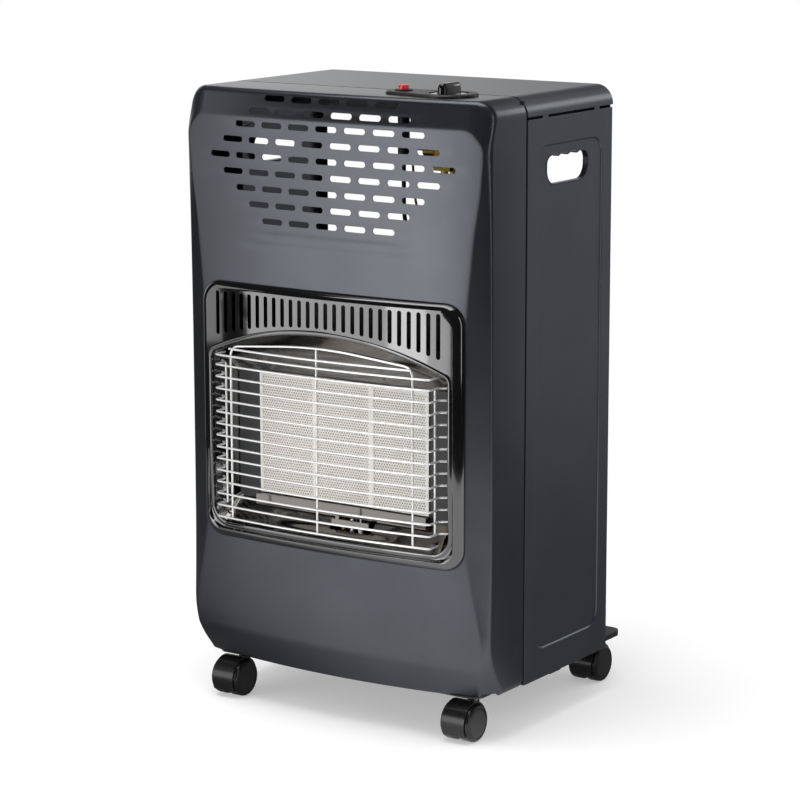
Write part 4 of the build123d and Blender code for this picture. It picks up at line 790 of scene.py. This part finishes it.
def dressCopy(node, material, slotName, body="cabinet", bevel=0.35, segments=2, angle=35):
    # a copy of the solid's mesh, merged, with its edges eased as sheet and mouldings are
    source = frame["nodes"][node]
    piece = source.copy()
    piece.data = source.data.copy()
    piece.name = node + "_dressed"
    piece.parent = None
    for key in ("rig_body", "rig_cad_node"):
        del piece[key]
    bpy.context.scene.collection.objects.link(piece)
    openMesh(piece)
    bpy.ops.mesh.remove_doubles(threshold=0.005 * mm)
    bpy.ops.mesh.dissolve_limited(angle_limit=radians(0.5))
    closeMesh()
    modify(piece, "BEVEL", width=bevel * mm, segments=segments, limit_method="ANGLE", angle_limit=radians(angle),
           use_clamp_overlap=True)
    smooth(piece)
    modify(piece, "WEIGHTED_NORMAL", keep_sharp=True)  # keeps flat faces flat beside rounded edges
    return finish(piece, material, body, slotName, node)


# Turned-down lips of the cap, inside the side panels, that close the seam between them
capLip = {"x": 195.5, "sheet": 1.0, "overlap": 0.2, "low": 700, "high": 737.2, "front": -74.4, "rear": 112.2,
          "reach": 208.4, "returnHigh": 719}


def makeCapLips():
    x, front, rear, sheet = capLip["x"], capLip["front"], capLip["rear"], capLip["sheet"]
    along = [(x - sheet, front), (x, front), (x, rear), (x - sheet, rear)]
    start, reach, back = x - capLip["overlap"], capLip["reach"], rear - sheet
    across = [(start, back), (reach, back), (reach, rear), (start, rear)]
    for hand, side in (("Left", -1), ("Right", 1)):
        for kind, outline, high in (("capLip", along, capLip["high"]), ("capReturn", across, capLip["returnHigh"])):
            lip = prisms(kind + hand, [[(side * a, b) for a, b in outline]], capLip["low"], high, "z")
            finish(lip, panelPaint, "cabinet", "anthracite_paint", "top_cover")


for side in ("left", "right"):
    dressCopy("side_panel_" + side, panelPaint, "anthracite_paint", bevel=0.45, segments=2)
dressCopy("top_cover", panelPaint, "anthracite_paint", bevel=0.4)
makeCapLips()
dressCopy("rear_cover", blackPaint, "black_enamel", "rear_cover", bevel=0.3)
dressCopy("base_tray", blackPaint, "black_enamel", bevel=0.5, segments=3)
dressCopy("control_plate", satinNylon, "satin_black_plastic", bevel=0.3)
dressCopy("piezo_igniter", satinNylon, "satin_black_plastic", bevel=0.25)
print("panels and covers dressed")


# Knob: round skirt under a bar grip with softened shoulders. Each level of the grip is its share of the
# height and how far the outline shrinks there.
knob = {"place": (128, -111), "skirtRadius": 21.5, "skirtLow": 737.5, "skirtHigh": 3.5, "grip": (12.4, 38),
        "gripLow": 739.5, "top": 753, "hollow": 1.1,
        "levels": ((0, -0.5), (0.35, -0.1), (0.62, 0.0), (0.8, 0.5), (0.9, 1.2), (0.97, 2.3), (1, 3.9))}


def makeKnob():
    cx, cy = knob["place"]
    r, h = knob["skirtRadius"], knob["skirtHigh"]
    profile = [(0.01, 0.0), (8, 0.0), (r - 1, 0.0), (r, 0.6), (r, h - 1.1), (r - 0.5, h - 0.4), (r - 1.3, h - 0.05),
               (r - 4, h), (0.01, h)]
    skirt = turned("knobSkirt", [(cx + q, cy, knob["skirtLow"] + z) for q, z in profile], (cx, cy, 0), (0, 0, 1), 64)
    width, length = knob["grip"]
    sections = []
    for level, shrink in knob["levels"]:
        z = knob["gripLow"] + (knob["top"] - knob["gripLow"]) * level
        sections.append([(x, y, z) for x, y in stadium(cx, cy, width - 2 * shrink, length - 2 * shrink, 8)])
    grip = loft("knobGrip", sections, ends=True)
    cleanNormals(grip, 0.005)
    for v in grip.data.vertices:  # finger hollows along both sides of the grip
        off, along = v.co.x / mm - cx, (v.co.y / mm - cy) / (length / 2)
        if abs(off) > 2:
            v.co.x -= (1 if off > 0 else -1) * knob["hollow"] * mm * max(0, 1 - (along * 1.5) ** 2)
    piece = joined("knobMoulding", grip, skirt)
    smooth(piece, 40)
    finish(piece, glossAbs, "knob", "gloss_black_plastic", "control_knob")


makeKnob()

# Ignition button: short red plunger with a dished top
button = {"place": (67, -111), "diameter": 12, "low": 721, "top": 748, "edge": 1.6, "dish": 0.5}


def makeButton():
    cx, cy = button["place"]
    r = button["diameter"] / 2
    profile = [(0.01, button["low"]), (r, button["low"]), (r, button["top"] - button["edge"])]
    for k in range(1, 6):
        turn = pi / 2 * k / 5
        profile.append((r - button["edge"] * (1 - cos(turn)), button["top"] - button["edge"] * (1 - sin(turn))))
    profile += [(r * 0.5, button["top"] - button["dish"] * 0.7), (0.01, button["top"] - button["dish"])]
    piece = turned("ignitionPlunger", [(cx + q, cy, z) for q, z in profile], (cx, cy, 0), (0, 0, 1), 40)
    smooth(piece, 40)
    finish(piece, redAbs, "ignition_button", "red_plastic", "ignition_button")


makeButton()
print("knob and button made")


# Castors: black hood over two wheels, each with a plain shallow cap
castor = {"radius": 22.5, "inner": 3.2, "outer": 19.7, "bore": 3.05, "capRadius": 17.6, "x": 165,
          "y": {"front": -135, "rear": 156}, "axleZ": 22.5}


def wheelProfile():
    r, a, b, c = castor["radius"], castor["inner"], castor["outer"], castor["capRadius"]
    tread = [(castor["bore"], a), (r - 2.5, a), (r - 0.6, a + 0.6), (r, a + 1.8), (r, b - 4.5), (r - 0.3, b - 2.6),
             (r - 1.2, b - 1.2), (r - 2.7, b - 0.3), (r - 3.6, b - 0.1), (c + 0.6, b - 0.1), (c + 0.35, b - 1.1)]
    cap = [(c + 0.35, b - 1.1), (c, b - 1.1), (c - 0.2, b - 0.5), (c - 0.9, b - 0.25), (c - 2.2, b - 0.15),
           (12, b - 0.05), (6, b), (0.01, b)]
    return tread, cap


def makeWheel(place, side, name, body, node):
    x0, y0 = place
    pieces = []
    for part, material in zip(wheelProfile(), (castorBlack, castorCap)):
        shell = turned(name, [(x0 + side * off, y0 + r, castor["axleZ"]) for r, off in part],
                       (x0, y0, castor["axleZ"]), (1, 0, 0), 56)
        shell.data.materials.append(material)
        pieces.append(shell)
    piece = joined(name, *pieces)
    cleanNormals(piece)
    smooth(piece, 35)
    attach(piece, body)
    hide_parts(node)


for yName, yPlace in castor["y"].items():
    for xName, xSide in (("left", -1), ("right", 1)):
        dressCopy(f"castor_hood_{yName}_{xName}", castorBlack, "castor_plastic", f"castor_{yName}_{xName}",
                  bevel=0.9, segments=3, angle=25)
        for letter, side in (("a", -1), ("b", 1)):
            makeWheel((xSide * castor["x"], yPlace), side, f"castorWheel_{yName}_{xName}_{letter}",
                      f"wheel_{yName}_{xName}_{letter}", f"castor_wheel_{yName}_{xName}_{letter}")
print("castors made")

# Solids that are right as they are get their real finish, except the bulkhead and burner surround, whose black paint
# is painted shade
plainNodes = (
    (zincSheet, ("burner_box", "heat_shield", "injector_bar")),
    (ceramic, ("ceramic_plaque_left", "ceramic_plaque_middle", "ceramic_plaque_right", "spark_electrode")),
    (fibreBoard, ("plaque_frame",)),
    # painted shade: the bulkhead and burner surround are painted black
    (blackPaint, ("burner_surround", "bulkhead")),
    (mirrorSteel, ("burner_rail", "pilot_bracket")),
    (heatedSheet, ("mixing_tubes",)),
    (turnedBrass, ("injectors", "pilot_burner", "gas_tap", "tap_spindle", "tap_collar", "hose_nozzle")),
    (chromeWire, ("thermocouple",)),
    (zincPlate, ("tap_bracket", "igniter_nut", "castor_sockets")),
)
for material, names in plainNodes:
    for name in names:
        node = frame["nodes"][name]
        node.data.materials.clear()
        node.data.materials.append(material)
        smooth(node, 30)
print("plain solids finished")


# Stage: pale floor that fades into the white room, soft lamps in front and at both sides, one overhead.
# Each lamp is azimuth, distance, height, height aimed at, size and power.
stage = {"floorRadius": 1.6, "fade": (0.55, 1.15), "floorTint": "#e4e4e4", "floorRough": 0.9, "lift": 0.35,
         "around": 0.62,
         # what gloss shows: direction, cosines where it starts and is full, strength
         "glossyBase": 0.02,
         "glossy": (((-0.804, 0.563, 0.19), 0.85, 1.0, 1.0), ((0, 0.98, 0.2), 0.3, 0.9, 0.16),
                    ((0.45, 0.85, 0.28), 0.76, 0.97, 0.35)),
         "floorGloss": {"way": (0.5, -0.866, 0), "from": 0.05, "to": 0.38, "low": 0.14, "high": 1.4},
         "lamps": {"frontLeft": (-31, 2.6, 0.4, 0.4, (1.25, 1.45), 15),
                   "stripLeft": (-18.5, 2.55, 0.4, 0.4, (0.4, 1.4), 5),
                   "farLeft": (-54, 2.5, 0.9, 0.5, (0.5, 1.8), 3.4),
                   "stripRight": (72, 2.2, 0.9, 0.5, (0.25, 1.8), 4.6),
                   "rearRight": (152, 2.5, 1.45, 0.73, (0.8, 0.6), 4),
                   "overhead": (-20, 0.6, 2.7, 0.4, (2.2, 1.4), 34)},
         "camera": {"place": (1.87195, -2.8255, 1.0329), "azimuth": 33.706, "elevation": 11.245, "roll": -0.091,
                    "focal": 129.667, "sensor": 36}}


def makeFloor():
    bpy.ops.mesh.primitive_circle_add(vertices=96, radius=stage["floorRadius"], fill_type="NGON")
    ground = bpy.context.view_layer.objects.active
    ground.name = "studioFloor"
    material, tree, shader = newMaterial("matteWhiteFloor")
    shader.inputs["Base Color"].default_value = linear(stage["floorTint"])
    shader.inputs["Roughness"].default_value = stage["floorRough"]
    shader.inputs["Specular IOR Level"].default_value = 0.0
    shader.inputs["Emission Color"].default_value = (1, 1, 1, 1)
    ray = addNode(tree, "ShaderNodeLightPath").outputs
    seen = addMath(tree, "MAXIMUM", ray["Is Camera Ray"], ray["Is Transmission Ray"])
    tree.links.new(addMath(tree, "MULTIPLY", seen, stage["lift"]), shader.inputs["Emission Strength"])
    # away from the object the floor is as white as the room, so no edge of it shows
    place = addNode(tree, "ShaderNodeTexCoord").outputs["Object"]
    away = addNode(tree, "ShaderNodeVectorMath", {"operation": "LENGTH", 0: place}).outputs["Value"]
    fade = addRange(tree, away, *stage["fade"], curve="SMOOTHSTEP")
    white = addNode(tree, "ShaderNodeEmission", {"Strength": 1.0})
    mixed = addNode(tree, "ShaderNodeMixShader", {"Fac": addMath(tree, "MULTIPLY", fade, seen),
                                                  1: shader.outputs["BSDF"], 2: white.outputs["Emission"]})
    # painted light: reflections show the floor as a glow, bright in front of the heater and dim behind it
    gloss = stage["floorGloss"]
    front = addNode(tree, "ShaderNodeVectorMath", {"operation": "DOT_PRODUCT", 0: place, 1: gloss["way"]})
    level = addRange(tree, front.outputs["Value"], gloss["from"], gloss["to"], gloss["low"], gloss["high"],
                     "SMOOTHSTEP")
    paintedGlow = addNode(tree, "ShaderNodeEmission", {"Strength": level})
    shown = addNode(tree, "ShaderNodeMixShader", {"Fac": ray["Is Glossy Ray"], 1: mixed.outputs["Shader"],
                                                  2: paintedGlow.outputs["Emission"]})
    tree.links.new(shown.outputs["Shader"], tree.nodes["Material Output"].inputs["Surface"])
    ground.data.materials.append(material)


def makeRoom():
    world = bpy.data.worlds.new("studio")
    bpy.context.scene.world = world
    world.use_nodes = True
    tree = world.node_tree
    background = tree.nodes["Background"]
    background.inputs["Color"].default_value = (1, 1, 1, 1)
    ray = addNode(tree, "ShaderNodeLightPath").outputs
    way = addNode(tree, "ShaderNodeTexCoord").outputs["Generated"]
    # gloss shows the white backdrop behind the heater, and the dim room in front of it
    total = stage["glossyBase"]
    for towards, start, full, level in stage["glossy"]:
        facing = addNode(tree, "ShaderNodeVectorMath", {"operation": "DOT_PRODUCT", 0: way, 1: towards})
        patch = addRange(tree, facing.outputs["Value"], start, full, 0.0, level, "SMOOTHSTEP")
        total = addMath(tree, "ADD", patch, total)
    glossy = addNode(tree, "ShaderNodeMix", {"data_type": "FLOAT", "Factor": ray["Is Glossy Ray"],
                                             "A": stage["around"], "B": total})
    seen = addMath(tree, "MAXIMUM", ray["Is Camera Ray"], ray["Is Transmission Ray"])
    strength = addNode(tree, "ShaderNodeMix", {"data_type": "FLOAT", "Factor": seen,
                                               "A": glossy.outputs["Result"], "B": 1.0})
    tree.links.new(strength.outputs["Result"], background.inputs["Strength"])


def makeLamps():
    for name, (azimuth, distance, height, aim, size, power) in stage["lamps"].items():
        light = bpy.data.lights.new(name, "AREA")
        light.shape = "RECTANGLE"
        light.size, light.size_y = size
        light.energy = power
        holder = bpy.data.objects.new(name, light)
        bpy.context.scene.collection.objects.link(holder)
        turn = radians(azimuth)
        holder.location = (distance * sin(turn), -distance * cos(turn), height)
        holder.rotation_euler = (Vector((0, 0, aim)) - holder.location).to_track_quat("-Z", "Y").to_euler()


def makeCamera():
    view = stage["camera"]
    a, e, r = radians(view["azimuth"]), radians(view["elevation"]), radians(view["roll"])
    back = Vector((sin(a) * cos(e), -cos(a) * cos(e), sin(e)))
    right = Vector((cos(a), sin(a), 0))
    up = back.cross(right)
    right, up = right * cos(r) + up * sin(r), up * cos(r) - right * sin(r)
    lens = bpy.data.cameras.new("camera")
    lens.lens = view["focal"]
    lens.sensor_width = view["sensor"]
    camera = bpy.data.objects.new("camera", lens)
    bpy.context.scene.collection.objects.link(camera)
    camera.matrix_world = Matrix.Translation(view["place"]) @ Matrix((right, up, back)).transposed().to_4x4()
    bpy.context.scene.camera = camera


makeFloor()
makeRoom()
makeLamps()
makeCamera()
bpy.context.scene.view_settings.view_transform = "Standard"
print("stage set")
